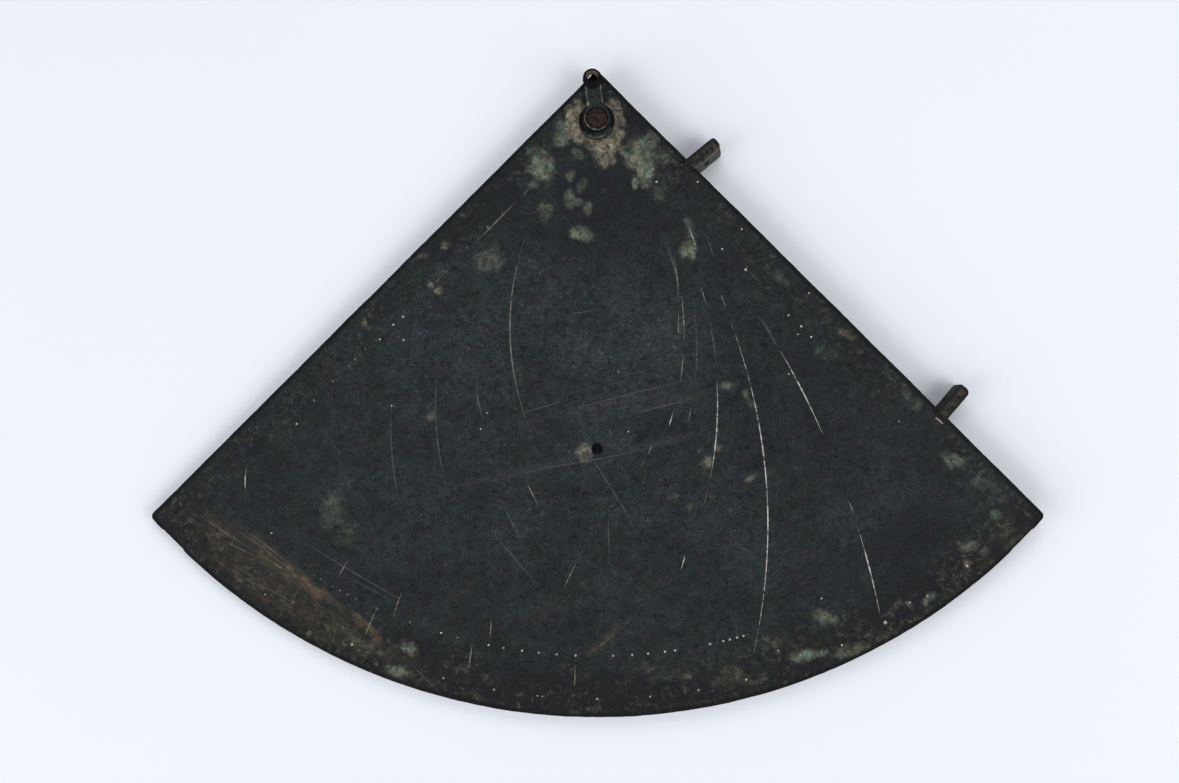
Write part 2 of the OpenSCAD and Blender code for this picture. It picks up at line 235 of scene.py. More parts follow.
# Crusts that stand on the face, of verdigris and of earth. Here and below, each patch is an ellipse:
# [x, y, half width, half height, turn, strength]
VERDIGRIS = [
    [-8.3, 42.4, 1.9, 2.5, 12, 0.85], [-9.4, 39.9, 1.1, 0.6, 10, 0.6], [-9.9, 44.6, 1.2, 1.2, 0, 0.45],
    [-5.4, 47.0, 1.3, 1.4, 0, 0.9], [-4.9, 48.6, 1.3, 1.3, 0, 0.6], [-2.7, 44.3, 1.1, 0.75, -25, 0.8],
    [-4.0, 41.2, 0.8, 0.8, 20, 0.75], [-2.2, 39.7, 0.8, 1.1, -40, 0.55], [-4.1, 37.7, 0.8, 1.4, 5, 0.75],
    [-2.7, 37.2, 1.0, 0.6, 0, 0.8], [-1.4, 36.2, 0.8, 1.0, 0, 0.8], [-2.4, 32.4, 1.7, 1.05, -12, 0.95],
    [1.1, 38.8, 0.6, 0.5, 0, 0.4], [6.6, 44.8, 2.2, 2.2, 0, 0.9], [8.2, 46.4, 1.1, 1.7, -20, 0.7],
    [7.4, 41.8, 1.2, 2.4, 0, 1.1], [5.8, 39.9, 0.5, 1.2, 5, 0.8], [9.7, 43.7, 1.5, 1.2, 0, 0.4],
    [9.4, 38.5, 1.1, 1.3, 0, 0.5], [-7.9, 35.4, 1.2, 1.7, 0, 0.5], [14.0, 33.2, 0.7, 1.7, 15, 0.55],
    [13.7, 30.0, 1.3, 1.3, 0, 0.85], [27.6, 25.6, 1.7, 0.8, -35, 0.5], [34.3, 14.4, 1.8, 1.1, 0, 0.4],
    [46.4, 8.3, 1.2, 0.8, -45, 0.5], [48.0, 6.8, 1.0, 1.0, 0, 0.45], [53.3, -1.8, 1.8, 1.1, -25, 0.75],
    [55.7, -14.7, 1.7, 0.8, 10, 0.75], [58.0, -15.4, 0.9, 0.7, 0, 0.5],
    [-28.1, -29.9, 1.4, 0.9, -30, 0.8], [-29.8, -33.4, 2.0, 0.8, -12, 0.85],
    [34.1, -25.2, 1.9, 1.1, -20, 0.8], [30.7, -31.0, 1.9, 0.9, 8, 0.95], [33.4, -30.6, 1.3, 0.7, 10, 0.7],
    [38.0, -30.3, 3.0, 0.9, 12, 0.65], [42.5, -28.2, 1.6, 0.6, 25, 0.45],
    [-39.6, -9.2, 1.9, 3.0, -10, 0.5], [-37.5, -13.0, 2.4, 2.2, 0, 0.32],
    [-16.2, 28.6, 2.2, 2.2, 0, 0.62], [10.8, -34.0, 3.2, 0.8, 5, 0.4],
    [-36.2, -28.2, 2.6, 0.9, -30, 0.35], [21.5, 23.0, 0.8, 0.7, 0, 0.35],
    [-12.0, 45.2, 1.4, 0.8, 40, 0.35], [59.6, -6.2, 0.9, 1.3, 0, 0.35], [25.5, -28.8, 1.6, 0.6, 0, 0.3],
    [59.8, -9.9, 1.1, 0.9, -30, 0.6], [57.4, -5.0, 1.5, 0.8, 0, 0.45], [49.6, -22.4, 1.2, 0.7, 30, 0.6],
    [62.3, -14.0, 1.6, 0.6, 40, 0.4], [24.4, -34.6, 1.6, 0.6, 20, 0.4], [19.6, 9.5, 1.3, 0.7, 0, 0.75],
    [22.4, 8.2, 0.6, 0.9, 20, 0.65], [23.3, 6.7, 1.0, 0.6, -30, 0.6], [15.5, -0.4, 0.7, 0.5, 0, 0.5],
    [17.3, -5.4, 0.8, 0.4, 0, 0.45], [23.3, -4.2, 1.4, 0.35, 35, 0.75], [26.0, -3.4, 0.8, 0.8, 0, 0.35],
    [11.2, -7.2, 1.6, 0.4, 5, 0.5], [14.0, -8.7, 0.7, 0.6, 0, 0.5], [17.3, -7.3, 0.6, 0.5, 0, 0.5],
    [20.3, -9.1, 0.8, 0.5, 0, 0.35], [30.0, -3.0, 0.8, 0.5, 0, 0.4], [35.5, -0.4, 0.9, 0.5, 0, 0.3]
]
EARTH = [
    [-3.5, 49.3, 1.3, 2.3, 0, 1.3], [-2.8, 47.0, 1.1, 0.9, -30, 1.0], [1.3, 45.8, 2.5, 1.5, 0, 1.0],
    [1.1, 43.9, 1.5, 1.4, 0, 0.85], [3.4, 47.4, 0.8, 1.0, 0, 0.8], [3.5, 50.4, 0.5, 1.7, 20, 0.9],
    [2.6, 52.2, 1.0, 0.6, -35, 0.75], [-2.8, 52.0, 0.8, 0.9, 20, 0.6], [-7.2, 51.0, 1.3, 0.6, 40, 0.3],
    [5.6, 43.3, 1.3, 1.2, 0, 0.75], [-8.0, 36.5, 1.2, 0.5, 0, 0.5], [-22.8, 30.7, 0.9, 0.7, 0, 0.5],
    [-26.3, 29.1, 1.0, 0.6, 0, 0.35], [-31.1, 25.2, 0.8, 0.6, 0, 0.4], [14.0, 30.6, 0.7, 2.4, 12, 0.45],
    [-1.9, -0.5, 1.35, 1.3, 0, 0.62], [-35.2, 19.0, 0.6, 0.5, 0, 0.6], [-25.1, 24.6, 0.5, 0.4, 0, 0.8],
    [-23.9, 23.8, 0.6, 0.5, 0, 0.7], [-24.9, 5.0, 0.8, 0.8, 0, 0.5], [16.4, -2.0, 0.9, 1.2, 0, 0.6],
    [18.2, 0.3, 1.0, 0.7, 0, 0.55], [7.5, -32.8, 1.0, 0.9, 0, 0.35], [13.7, -34.1, 0.9, 0.5, 0, 0.35],
    [20.3, -34.0, 2.6, 1.6, 15, 0.32], [25.8, -28.8, 2.0, 1.1, 0, 0.35],
    [-17.6, -37.1, 1.4, 0.5, -15, 0.35], [-11.6, -36.8, 0.8, 0.4, 0, 0.35],
    [-0.3, -38.9, 2.2, 0.4, 0, 0.3], [60.5, -12.5, 2.2, 1.0, 40, 0.3], [37.4, 17.3, 1.4, 0.7, -30, 0.4],
    [-33.0, -30.0, 4.0, 0.8, -25, 0.3], [44.9, -23.5, 1.4, 0.6, 30, 0.3], [46.8, -23.3, 0.8, 0.5, 0, 0.5],
    [55.3, -17.3, 0.5, 0.9, 30, 0.6], [61.0, -7.5, 0.8, 0.6, 0, 0.4], [58.5, -17.4, 1.6, 0.4, 35, 0.4]
]
# Crusts on the back
BACK_CRUSTS = [
    [-24.0, 8.0, 3.0, 2.2, 20, 0.8], [12.0, 30.0, 2.4, 3.0, -30, 0.85], [31.0, -14.0, 3.2, 2.0, 10, 0.75],
    [-8.0, -24.0, 2.2, 1.6, 0, 0.7], [-40.0, -12.0, 1.8, 2.4, 35, 0.7], [4.6, 43.6, 2.6, 1.8, 0, 0.9],
    [-3.4, 50.5, 1.2, 2.0, 30, 0.9], [48.0, -20.0, 2.4, 1.2, 30, 0.7], [20.0, 4.0, 1.2, 0.9, 0, 0.6],
    [-14.0, 20.0, 1.4, 1.8, 0, 0.65], [0.0, -34.0, 4.0, 1.2, 0, 0.5], [-12.0, 38.0, 1.6, 1.0, 45, 0.7]
]
# Bare copper that scratching has opened: streaks of rubbed metal under the coarse marks
RUBBED = [
    [-57.0, -11.8, 4.0, 0.5, -33, 0.55], [-46.0, -18.6, 6.6, 1.0, -34.5, 1.25],
    [-39.4, -23.0, 2.4, 0.5, -37, 0.6], [-34.6, -26.7, 3.0, 0.7, -42, 0.8],
    [-56.4, -11.8, 5.0, 0.5, -33, 0.5], [-50.5, -13.8, 6.5, 0.5, -34, 0.4],
    [-56.3, -17.2, 1.0, 0.45, -35, 0.8], [-52.0, -19.7, 5.0, 0.9, -27, 0.5],
    [-56.0, -14.6, 4.0, 0.9, -33, 0.45], [-45.0, -23.6, 15.0, 3.0, -31, 0.34],
    [-51.0, -16.0, 11.0, 2.4, -33, 0.34], [-35.2, 19.0, 0.5, 0.5, 0, 0.6],
    [-23.6, 24.1, 0.5, 0.5, 0, 0.9], [1.0, -28.6, 4.5, 0.8, 40, 0.4], [-6.0, -23.0, 9.0, 1.6, 30, 0.22],
    [11.0, -7.3, 1.8, 0.4, 0, 0.35], [-31.0, -31.0, 7.0, 1.4, -28, 0.34],
    [20.5, -34.4, 3.0, 1.4, 15, 0.25], [-24.0, 24.0, 2.4, 1.6, 0, 0.2], [9.0, -20.0, 4.0, 1.4, 40, 0.15],
    [-20.0, -21.0, 6.0, 1.2, 25, 0.2]
]
# Faint bands where something hard was dragged over the face
SMEARS = [
    [-12.4, -3.6, 10.4, 0.45, 13, 0.8], [8.8, 0.8, 5.7, 0.45, 12, 0.8], [-0.9, 6.1, 12.8, 0.4, 12.5, 0.7],
    [10.8, 7.1, 5.9, 0.45, 13.7, 0.9]
]
# Places that stayed darker than the rest: round the crusts, at the corners and in two old pits
GRIME = [
    [-3.5, 56.0, 2.5, 1.2, 45, 0.7], [3.8, 54.4, 1.2, 2.6, 45, 0.8], [6.4, 50.6, 2.0, 2.2, 0, 0.8],
    [-10.5, 48.0, 4.0, 1.6, 45, 0.6], [-15.0, 42.5, 4.5, 2.4, 45, 0.7], [-4.5, 44.8, 3.0, 1.0, 0, 0.6],
    [2.0, 38.0, 9.0, 6.5, 0, 0.62], [-3.0, 32.0, 9.0, 4.0, 0, 0.55], [-14.0, 37.0, 4.0, 4.0, 45, 0.55],
    [-21.0, 33.0, 6.0, 1.6, 45, 0.5], [-50.7, 0.5, 1.1, 1.5, 0, 0.8], [-7.9, 35.6, 0.5, 0.7, 0, 0.9],
    [64.5, -9.5, 4.0, 2.0, 45, 0.4], [47.0, -13.0, 7.5, 5.0, 20, 0.6], [45.0, -22.0, 11.0, 4.0, 35, 0.55],
    [30.0, -34.0, 12.0, 2.6, 20, 0.55], [0.0, -36.5, 24.0, 3.4, 0, 0.6],
    [-30.0, -28.0, 9.0, 2.5, -25, 0.45], [36.0, 10.0, 5.0, 9.0, 45, 0.4],
    [-42.0, 5.0, 14.0, 2.4, 45, 0.35], [-24.2, 22.5, 0.3, 0.6, 30, 1.0], [0.3, 0.2, 1.5, 1.5, 0, 0.5],
    [20.0, 30.0, 8.0, 3.0, -45, 0.35], [50.0, -1.0, 12.0, 3.0, -45, 0.4]
]
# Where the plate is greyest and lightest
PALE = [
    [3.0, 15.0, 13.0, 12.0, 0, 1.0], [-8.0, 8.0, 30.0, 26.0, 0, 0.7], [8.0, -15.0, 22.0, 12.0, 0, 0.6],
    [-30.0, -9.0, 14.0, 9.0, 0, 0.6], [44.0, 3.0, 8.0, 6.0, -45, 0.8], [-8.5, 24.0, 6.5, 5.5, 0, 0.95],
    [-8.5, 14.5, 5.5, 6.0, 0, 1.0], [56.5, -7.5, 3.6, 4.2, 0, 1.0], [40.0, -8.0, 9.0, 6.0, 0, 0.5]
]
# All patches of the face, by the names under which the plate keeps them
FACE_PATCHES = {
    "verdigris": VERDIGRIS, "earth": EARTH, "rubbed": RUBBED, "smear": SMEARS, "grime": GRIME, "pale": PALE
}


def strongest_patch(points, patches, ragged):
    """Strength of the strongest patch at each point, from 0 to 1, with soft and ragged borders."""
    level = np.zeros(len(points))
    for centre_x, centre_y, half_width, half_height, turn, strength in patches:
        c = math.cos(math.radians(turn))
        s = math.sin(math.radians(turn))
        x = points[:, 0] - centre_x
        y = points[:, 1] - centre_y
        reach = np.hypot((x * c + y * s) / half_width, (y * c - x * s) / half_height) + 0.35 * ragged
        level = np.maximum(level, strength * fade(reach, 1.6, 0.45))
    return level


def patch_levels(points, patches, level):
    """The strength of each kind of patch at each point. Their borders follow noise at the given level."""
    flat = at_level(points, level)
    ragged = noise_at(flat, 1.1, 3.1) + 0.6 * noise_at(flat, 0.5, 8.2)
    return {name: strongest_patch(points, each, ragged) for name, each in patches.items()}


def from_rivet(points):
    """Distance of each point from the rivet's axis."""
    return np.hypot(points[:, 0], points[:, 1] - RIVET_Y)


def ring_crust(points):
    """The earth that lies round the link's ring, open at the top where the link's tongue leaves it."""
    reach = from_rivet(points)
    turn = np.degrees(np.arctan2(points[:, 1] - RIVET_Y, points[:, 0]))
    beside_tongue = fade(np.abs(turn - 96), 18, 38)
    return 0.9 * fade(reach, RING_R - 0.4, RING_R) * fade(reach, RING_R + 1.1, RING_R + 0.2) * beside_tongue


def face_masks(points):
    """The crusts and stains at points of the face, as a dict of arrays."""
    masks = patch_levels(points, FACE_PATCHES, FACE_LEVEL)
    masks["earth"] = np.maximum(masks["earth"], ring_crust(points))
    return masks


def back_crust(points):
    """The crust on the back at points of the plate, from 0 to 1."""
    return patch_levels(points, {"crust": BACK_CRUSTS}, BACK_CRUST_LEVEL)["crust"]


def under_link(points):
    """1 under the circle that the link sweeps, where the crust has been rubbed low, and 0 away from it."""
    return fade(from_rivet(points), EYE_OUT + EYE_R + 0.8, EYE_OUT + EYE_R)


def face_relief(points):
    """Height of the engraved face above its nominal plane."""
    flat = at_level(points, FACE_LEVEL)
    waves = 0.022 * noise_at(flat, 14.0, 1.3) + 0.012 * noise_at(flat, 3.2, 5.2)
    grain = 0.008 * noise_at(flat, 0.9, 2.4)
    masks = face_masks(points)
    lumps = 0.5 + 0.5 * noise_at(flat, 0.6, 6.6)
    crust = np.maximum(masks["verdigris"], masks["earth"])
    crust_height = 0.2 - 0.14 * under_link(points)
    return waves + grain + crust * lumps * crust_height - 0.03 * masks["grime"] * lumps


def face_height(points):
    """Height of the face at a few points, for the cutters that follow it."""
    return PLATE_T + face_relief(np.array([[p[0], p[1], 0.0] for p in points]))


# Modelling helpers

def to_object(bm, name):
    """A new object from a bmesh, in the bmesh's own units."""
    mesh = bpy.data.meshes.new(name)
    bm.to_mesh(mesh)
    bm.free()
    made = bpy.data.objects.new(name, mesh)
    bpy.context.scene.collection.objects.link(made)
    return made


def apply_modifiers(piece):
    """Makes what the piece's modifiers show its real mesh."""
    graph = bpy.context.evaluated_depsgraph_get()
    mesh = bpy.data.meshes.new_from_object(piece.evaluated_get(graph))
    piece.modifiers.clear()
    old = piece.data
    piece.data = mesh
    bpy.data.meshes.remove(old)


def cut(piece, cutter):
    """Takes the cutter's shape out of the piece. The cut keeps the cutter's material number."""
    tool = piece.modifiers.new("cut", "BOOLEAN")
    tool.operation = "DIFFERENCE"
    tool.solver = "MANIFOLD"
    tool.object = cutter
    tool.material_mode = "INDEX"
    apply_modifiers(piece)
    mesh = cutter.data
    bpy.data.objects.remove(cutter)
    bpy.data.meshes.remove(mesh)


def positions(mesh):
    """The mesh's vertices as rows of an array."""
    flat = np.zeros(len(mesh.vertices) * 3)
    mesh.vertices.foreach_get("co", flat)
    return flat.reshape(-1, 3)


def normals(mesh):
    """The mesh's vertex normals as rows of an array."""
    flat = np.zeros(len(mesh.vertices) * 3)
    mesh.vertices.foreach_get("normal", flat)
    return flat.reshape(-1, 3)


def move_to(mesh, places):
    """Puts the mesh's vertices at the rows of an array."""
    mesh.vertices.foreach_set("co", np.ascontiguousarray(places).ravel())
    mesh.update()


def store(mesh, name, values):
    """Keeps one number for each vertex, for the materials to read."""
    layer = mesh.attributes.new(name, "FLOAT", "POINT")
    layer.data.foreach_set("value", np.ascontiguousarray(values, dtype=np.float32))


def finish_piece(piece, material, body, nodes, sharp=35):
    """Shades the piece, scales it to metres and lets it ride in place of its CAD nodes. Edges that bend by
    more than sharp degrees stay sharp."""
    mesh = piece.data
    if material:
        mesh.materials.clear()
        mesh.materials.append(material)
    mesh.transform(Matrix.Scale(MM, 4))
    mesh.shade_smooth()
    mesh.set_sharp_from_angle(angle=math.radians(sharp))
    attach(piece, body)
    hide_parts(*nodes)


def smooth_path(points, step=0.8):
    """Points along a soft curve through a few chosen ones."""
    if len(points) == 2:
        first, last = (Vector(p) for p in points)
        count = max(4, round((last - first).length / step))
        return [tuple(first.lerp(last, i / count)) for i in range(count + 1)]
    places = [Vector(p) for p in points]
    ends = [2 * places[0] - places[1]] + places + [2 * places[-1] - places[-2]]
    path = []
    for i in range(1, len(ends) - 2):
        a, b, c, d = ends[i - 1:i + 3]
        count = max(2, round((c - b).length / step))
        for k in range(count):
            t = k / count
            path.append(tuple(0.5 * (
                2 * b + (c - a) * t + (2 * a - 5 * b + 4 * c - d) * t * t
                + (3 * b - a - 3 * c + d) * t ** 3
            )))
    return path + [tuple(places[-1])]


def groove(path, width, depth):
    """A cutter for an engraved line along a path of (x, y) points: a V that thins out at both ends."""
    last = len(path) - 1
    bm = bmesh.new()
    profile = [bm.verts.new((0, 1, 1)), bm.verts.new((0, 0, 0)), bm.verts.new((0, -1, 1))]
    face = bm.faces.new(profile)
    bmesh.ops.spin(
        bm, geom=[face] + face.edges[:] + profile, cent=(0, 0, 0), axis=(1, 0, 0), dvec=(1, 0, 0),
        angle=0, steps=last
    )
    steps = [Vector((p[0], p[1], 0)) for p in path]
    heights = face_height(path)
    for vertex in bm.verts:
        i = round(vertex.co.x)
        ahead = (steps[min(i + 1, last)] - steps[max(i - 1, 0)]).normalized()
        taper = 0.35 + 0.65 * min(1.0, 2.6 * min(i, last - i) / last)
        half_top = width / 2 * taper * (1 + CUTTER_RISE / depth)
        side = Vector((-ahead.y, ahead.x, 0)) * vertex.co.y * half_top
        rise = CUTTER_RISE if vertex.co.z > 0.5 else -depth * taper
        vertex.co = steps[i] + side + Vector((0, 0, heights[i] + rise))
    bmesh.ops.recalc_face_normals(bm, faces=bm.faces)
    if bm.calc_volume(signed=True) < 0:
        bmesh.ops.reverse_faces(bm, faces=bm.faces)
    return bm


def dot(x, y, radius):
    """A cutter for one punched dot."""
    bm = bmesh.new()
    bmesh.ops.create_icosphere(bm, subdivisions=2, radius=radius)
    height = face_height([(x, y)])[0]
    bmesh.ops.translate(bm, vec=(x, y, height + 0.25 * radius), verts=bm.verts)
    return bm


def join(parts, name, like=None, number=0):
    """One object from several bmeshes, which it uses up. With like, it takes that piece's materials and
    its faces the material of the given number."""
    whole = bmesh.new()
    mesh = bpy.data.meshes.new("shared")
    for part in parts:
        part.to_mesh(mesh)
        part.free()
        whole.from_mesh(mesh)
    bpy.data.meshes.remove(mesh)
    made = to_object(whole, name)
    if like:
        for material in like.data.materials:
            made.data.materials.append(material)
        for face in made.data.polygons:
            face.material_index = number
    return made


def in_layers(paths, room=0.6):
    """Sorts paths into layers in which no two lie near each other, because cutters that cross can't
    share a mesh."""
    layers = []
    for path in paths:
        xs = [p[0] for p in path]
        ys = [p[1] for p in path]
        box = (min(xs) - room, min(ys) - room, max(xs) + room, max(ys) + room)
        for layer in layers:
            if all(
                box[2] < other[0] or other[2] < box[0] or box[3] < other[1] or other[3] < box[1]
                for other, _ in layer
            ):
                layer.append((box, path))
                break
        else:
            layers.append([(box, path)])
    return [[path for _, path in layer] for layer in layers]


def arc_path(x, y, radius, first, last):
    """Points about 1 mm apart along an arc."""
    count = max(4, round(abs(math.radians(last - first)) * radius))
    turns = [math.radians(first + (last - first) * i / count) for i in range(count + 1)]
    return [(x + radius * math.cos(a), y + radius * math.sin(a)) for a in turns]


def from_centre(direction, distance):
    """The point of the face at a distance from the quadrant's centre, in a direction in degrees."""
    a = math.radians(direction)
    return (distance * math.cos(a), CENTRE_Y + distance * math.sin(a))


def line_paths(arcs, strokes):
    """The paths of engraved arcs and strokes."""
    return [arc_path(*arc) for arc in arcs] + [smooth_path(points) for points in strokes]


def bright_dots():
    """Places and radii of the punched dots that shine."""
    spots = [(*from_centre(turn - 90, LIMB_DOTS_AT), LIMB_DOT_R) for turn in LIMB_DOTS_BRIGHT]
    spots += [(*from_centre(turn - 90, RIM_DOTS_AT), RIM_DOT_R * size) for turn, size in RIM_DOTS]
    return spots + [(x, y, LONE_DOT_R * size) for x, y, size in LONE_DOTS]


def dull_dots():
    """Places and radii of the darker punched dots."""
    spots = [(*from_centre(turn - 90, LIMB_DOTS_AT), DULL_DOT_R) for turn in LIMB_DOTS_DULL]
    for way, distances in ((LEFT_EDGE_WAY, LEFT_MARGIN_DOTS), (RIGHT_EDGE_WAY, RIGHT_MARGIN_DOTS)):
        spots += [(*from_centre(way, distance), MARGIN_DOT_R) for distance in distances]
    return spots


# Materials

def srgb(red, green, blue):
    """A colour written as it looks on a screen, from 0 to 255, as the linear colour that Blender takes."""
    parts = [value / 255 for value in (red, green, blue)]
    linear = [v / 12.92 if v <= 0.04045 else ((v + 0.055) / 1.055) ** 2.4 for v in parts]
    return (*linear, 1.0)


class Finish:
    """Node tree of one material. Patterns have their size in millimetres, on Object coordinates."""

    def __init__(self, name, specular, roughness=0.6):
        self.material = bpy.data.materials.new(name)
        self.material.use_nodes = True
        self.tree = self.material.node_tree
        self.tree.nodes.clear()
        self.shader = self.add("ShaderNodeBsdfPrincipled")
        self.shader.inputs["Roughness"].default_value = roughness
        self.shader.inputs["Specular IOR Level"].default_value = specular
        output = self.add("ShaderNodeOutputMaterial")
        self.link(self.shader.outputs["BSDF"], output.inputs["Surface"])
        coordinates = self.add("ShaderNodeTexCoord")
        self.place = coordinates.outputs["Object"]

    def add(self, kind):
        """A new node of a kind."""
        return self.tree.nodes.new(kind)

    def link(self, source, target):
        """Links one socket to another."""
        self.tree.links.new(source, target)

    def plug(self, value, target):
        """Sets a socket to a number or a colour, or links another socket to it."""
        if isinstance(value, bpy.types.NodeSocket):
            self.link(value, target)
        else:
            target.default_value = value

    def spread(self, size, turn=0.0, seed=0):
        """Object coordinates measured in steps of the given size: one number, or one for X, Y and Z.
        Each seed is a place of its own in the pattern."""
        sizes = size if isinstance(size, tuple) else (size, size, size)
        turned = self.add("ShaderNodeMapping")
        turned.inputs["Rotation"].default_value = (0, 0, math.radians(-turn))
        self.link(self.place, turned.inputs["Vector"])
        scaled = self.add("ShaderNodeMapping")
        scaled.inputs["Scale"].default_value = tuple(1 / (MM * s) for s in sizes)
        scaled.inputs["Location"].default_value = (3.7 * seed, -2.9 * seed, 5.3 * seed)
        self.link(turned.outputs["Vector"], scaled.inputs["Vector"])
        return scaled.outputs["Vector"]

    def noise(self, size, detail=2.0, turn=0.0, roughness=0.55, seed=0):
        """Cloudy noise from 0 to 1."""
        node = self.add("ShaderNodeTexNoise")
        node.inputs["Scale"].default_value = 1.0
        node.inputs["Detail"].default_value = detail
        node.inputs["Roughness"].default_value = roughness
        self.link(self.spread(size, turn, seed), node.inputs["Vector"])
        return node.outputs["Fac"]

    def specks(self, size, radius, share):
        """Small round specks in some cells of a field: 1 inside a speck and 0 outside."""
        node = self.add("ShaderNodeTexVoronoi")
        node.inputs["Scale"].default_value = 1.0
        node.inputs["Randomness"].default_value = 1.0
        self.link(self.spread(size), node.inputs["Vector"])
        parts = self.add("ShaderNodeSeparateColor")
        self.link(node.outputs["Color"], parts.inputs["Color"])
        chosen = self.step(parts.outputs["Red"], 1 - share, 1 - share + 0.02)
        inside = self.step(node.outputs["Distance"], radius / size, 0.5 * radius / size)
        return self.times(chosen, inside)

    def step(self, value, start, end):
        """Smooth step from 0 at start to 1 at end, which may lie below start."""
        node = self.add("ShaderNodeMapRange")
        node.interpolation_type = "SMOOTHSTEP"
        self.plug(value, node.inputs["Value"])
        node.inputs["From Min"].default_value = min(start, end)
        node.inputs["From Max"].default_value = max(start, end)
        node.inputs["To Min"].default_value = 0.0 if start < end else 1.0
        node.inputs["To Max"].default_value = 1.0 if start < end else 0.0
        return node.outputs["Result"]

    def blotches(self, size, start, end, seed, detail=4.0, roughness=0.65):
        """Noise taken through a smooth step: 1 inside its blotches and 0 between them."""
        return self.step(self.noise(size, detail, roughness=roughness, seed=seed), start, end)

    def math(self, operation, first, second):
        """Two values or sockets put together by an operation of the Math node."""
        node = self.add("ShaderNodeMath")
        node.operation = operation
        self.plug(first, node.inputs[0])
        self.plug(second, node.inputs[1])
        return node.outputs["Value"]

    def times(self, first, second):
        """The product of two values or sockets."""
        return self.math("MULTIPLY", first, second)

    def lift(self, value, share, least):
        """A share of the value, on top of the least that there is everywhere."""
        return self.math("ADD", self.times(value, share), least)

    def mix(self, amount, first, second, mode="MIX"):
        """From the first colour to the second as the amount goes from 0 to 1."""
        node = self.add("ShaderNodeMix")
        node.data_type = "RGBA"
        node.blend_type = mode
        # Of the node's sockets, these three and output 2 belong to its colour mode
        factor, first_colour, second_colour = (node.inputs[i] for i in (0, 6, 7))
        self.plug(amount, factor)
        self.plug(first, first_colour)
        self.plug(second, second_colour)
        return node.outputs[2]

    def over(self, base, amount, strength, colour):
        """The base with a colour laid over it where the amount is high, at the given strength."""
        return self.mix(self.times(amount, strength), base, colour)

    def stored(self, name):
        """A number kept on the piece's vertices."""
        node = self.add("ShaderNodeAttribute")
        node.attribute_name = name
        return node.outputs["Fac"]

    def broken(self, name, size, start, end, depth, turn=0.0):
        """A patch kept on the piece's vertices, with a border that noise breaks up."""
        ragged = self.math("SUBTRACT", self.noise(size, 4.0, turn, 0.65), 0.5)
        level = self.math("ADD", self.stored(name), self.times(ragged, depth))
        kept = self.step(self.stored(name), 0.02, 0.12)
        return self.times(kept, self.step(level, start, end))

    def vary(self, colour, value, amount):
        """The colour made lighter and darker by up to the given share, as the value goes from 0 to 1."""
        low = (1 - amount,) * 3 + (1.0,)
        high = (1 + amount,) * 3 + (1.0,)
        shade = self.mix(value, low, high)
        return self.mix(1.0, colour, shade, "MULTIPLY")

    def colour(self, value):
        """Gives the material its colour."""
        self.plug(value, self.shader.inputs["Base Color"])

    def rough(self, value, low, high):
        """Roughness from low to high as the value goes from 0 to 1."""
        node = self.add("ShaderNodeMapRange")
        self.plug(value, node.inputs["Value"])
        node.inputs["To Min"].default_value = low
        node.inputs["To Max"].default_value = high
        self.link(node.outputs["Result"], self.shader.inputs["Roughness"])

    def bump(self, height, depth):
        """Fine relief, with its depth in millimetres."""
        node = self.add("ShaderNodeBump")
        node.inputs["Strength"].default_value = 1.0
        node.inputs["Distance"].default_value = depth * MM
        self.link(height, node.inputs["Height"])
        self.link(node.outputs["Normal"], self.shader.inputs["Normal"])


def plate_ground(f, mottle, grain):
    """The blue-black patina of the bare face, with teal, green, purple and blue in it."""
    clouds = f.blotches(7.0, 0.3, 0.7, 1, 3.0, 0.55)
    light = f.times(f.stored("pale"), f.lift(clouds, 0.6, 0.4))
    base = f.mix(light, srgb(30, 32, 36), srgb(44, 49, 53))
    base = f.over(base, f.blotches(6.0, 0.42, 0.62, 19, roughness=0.6), 0.5, srgb(32, 41, 39))
    base = f.over(base, f.blotches(1.2, 0.5, 0.64, 4), 0.75, srgb(26, 41, 33))
    base = f.over(base, f.blotches(1.7, 0.52, 0.66, 5), 0.62, srgb(39, 31, 38))
    base = f.over(base, f.blotches(1.4, 0.53, 0.66, 24), 0.45, srgb(36, 45, 51))
    base = f.over(base, f.blotches(0.9, 0.52, 0.66, 6), 0.72, srgb(16, 17, 20))
    haze = f.blotches(0.8, 0.53, 0.7, 7, 5.0, 0.75)
    base = f.over(base, haze, f.times(light, 0.7), srgb(74, 82, 85))
    base = f.vary(base, clouds, 0.12)
    base = f.vary(base, f.step(mottle, 0.3, 0.7), 0.27)
    base = f.vary(base, f.step(grain, 0.25, 0.75), 0.5)
    for way, seed in ((-16, 8), (84, 10)):
        hairs = f.step(f.noise((16.0, 0.2, 1.0), 2.0, way, seed=seed), 0.66, 0.8)
        base = f.over(base, hairs, 0.22, srgb(84, 88, 90))
    base = f.over(base, f.specks(2.6, 0.15, 0.2), 0.4, srgb(104, 108, 100))
    return f.over(base, f.specks(1.3, 0.2, 0.3), 0.6, srgb(14, 14, 16))


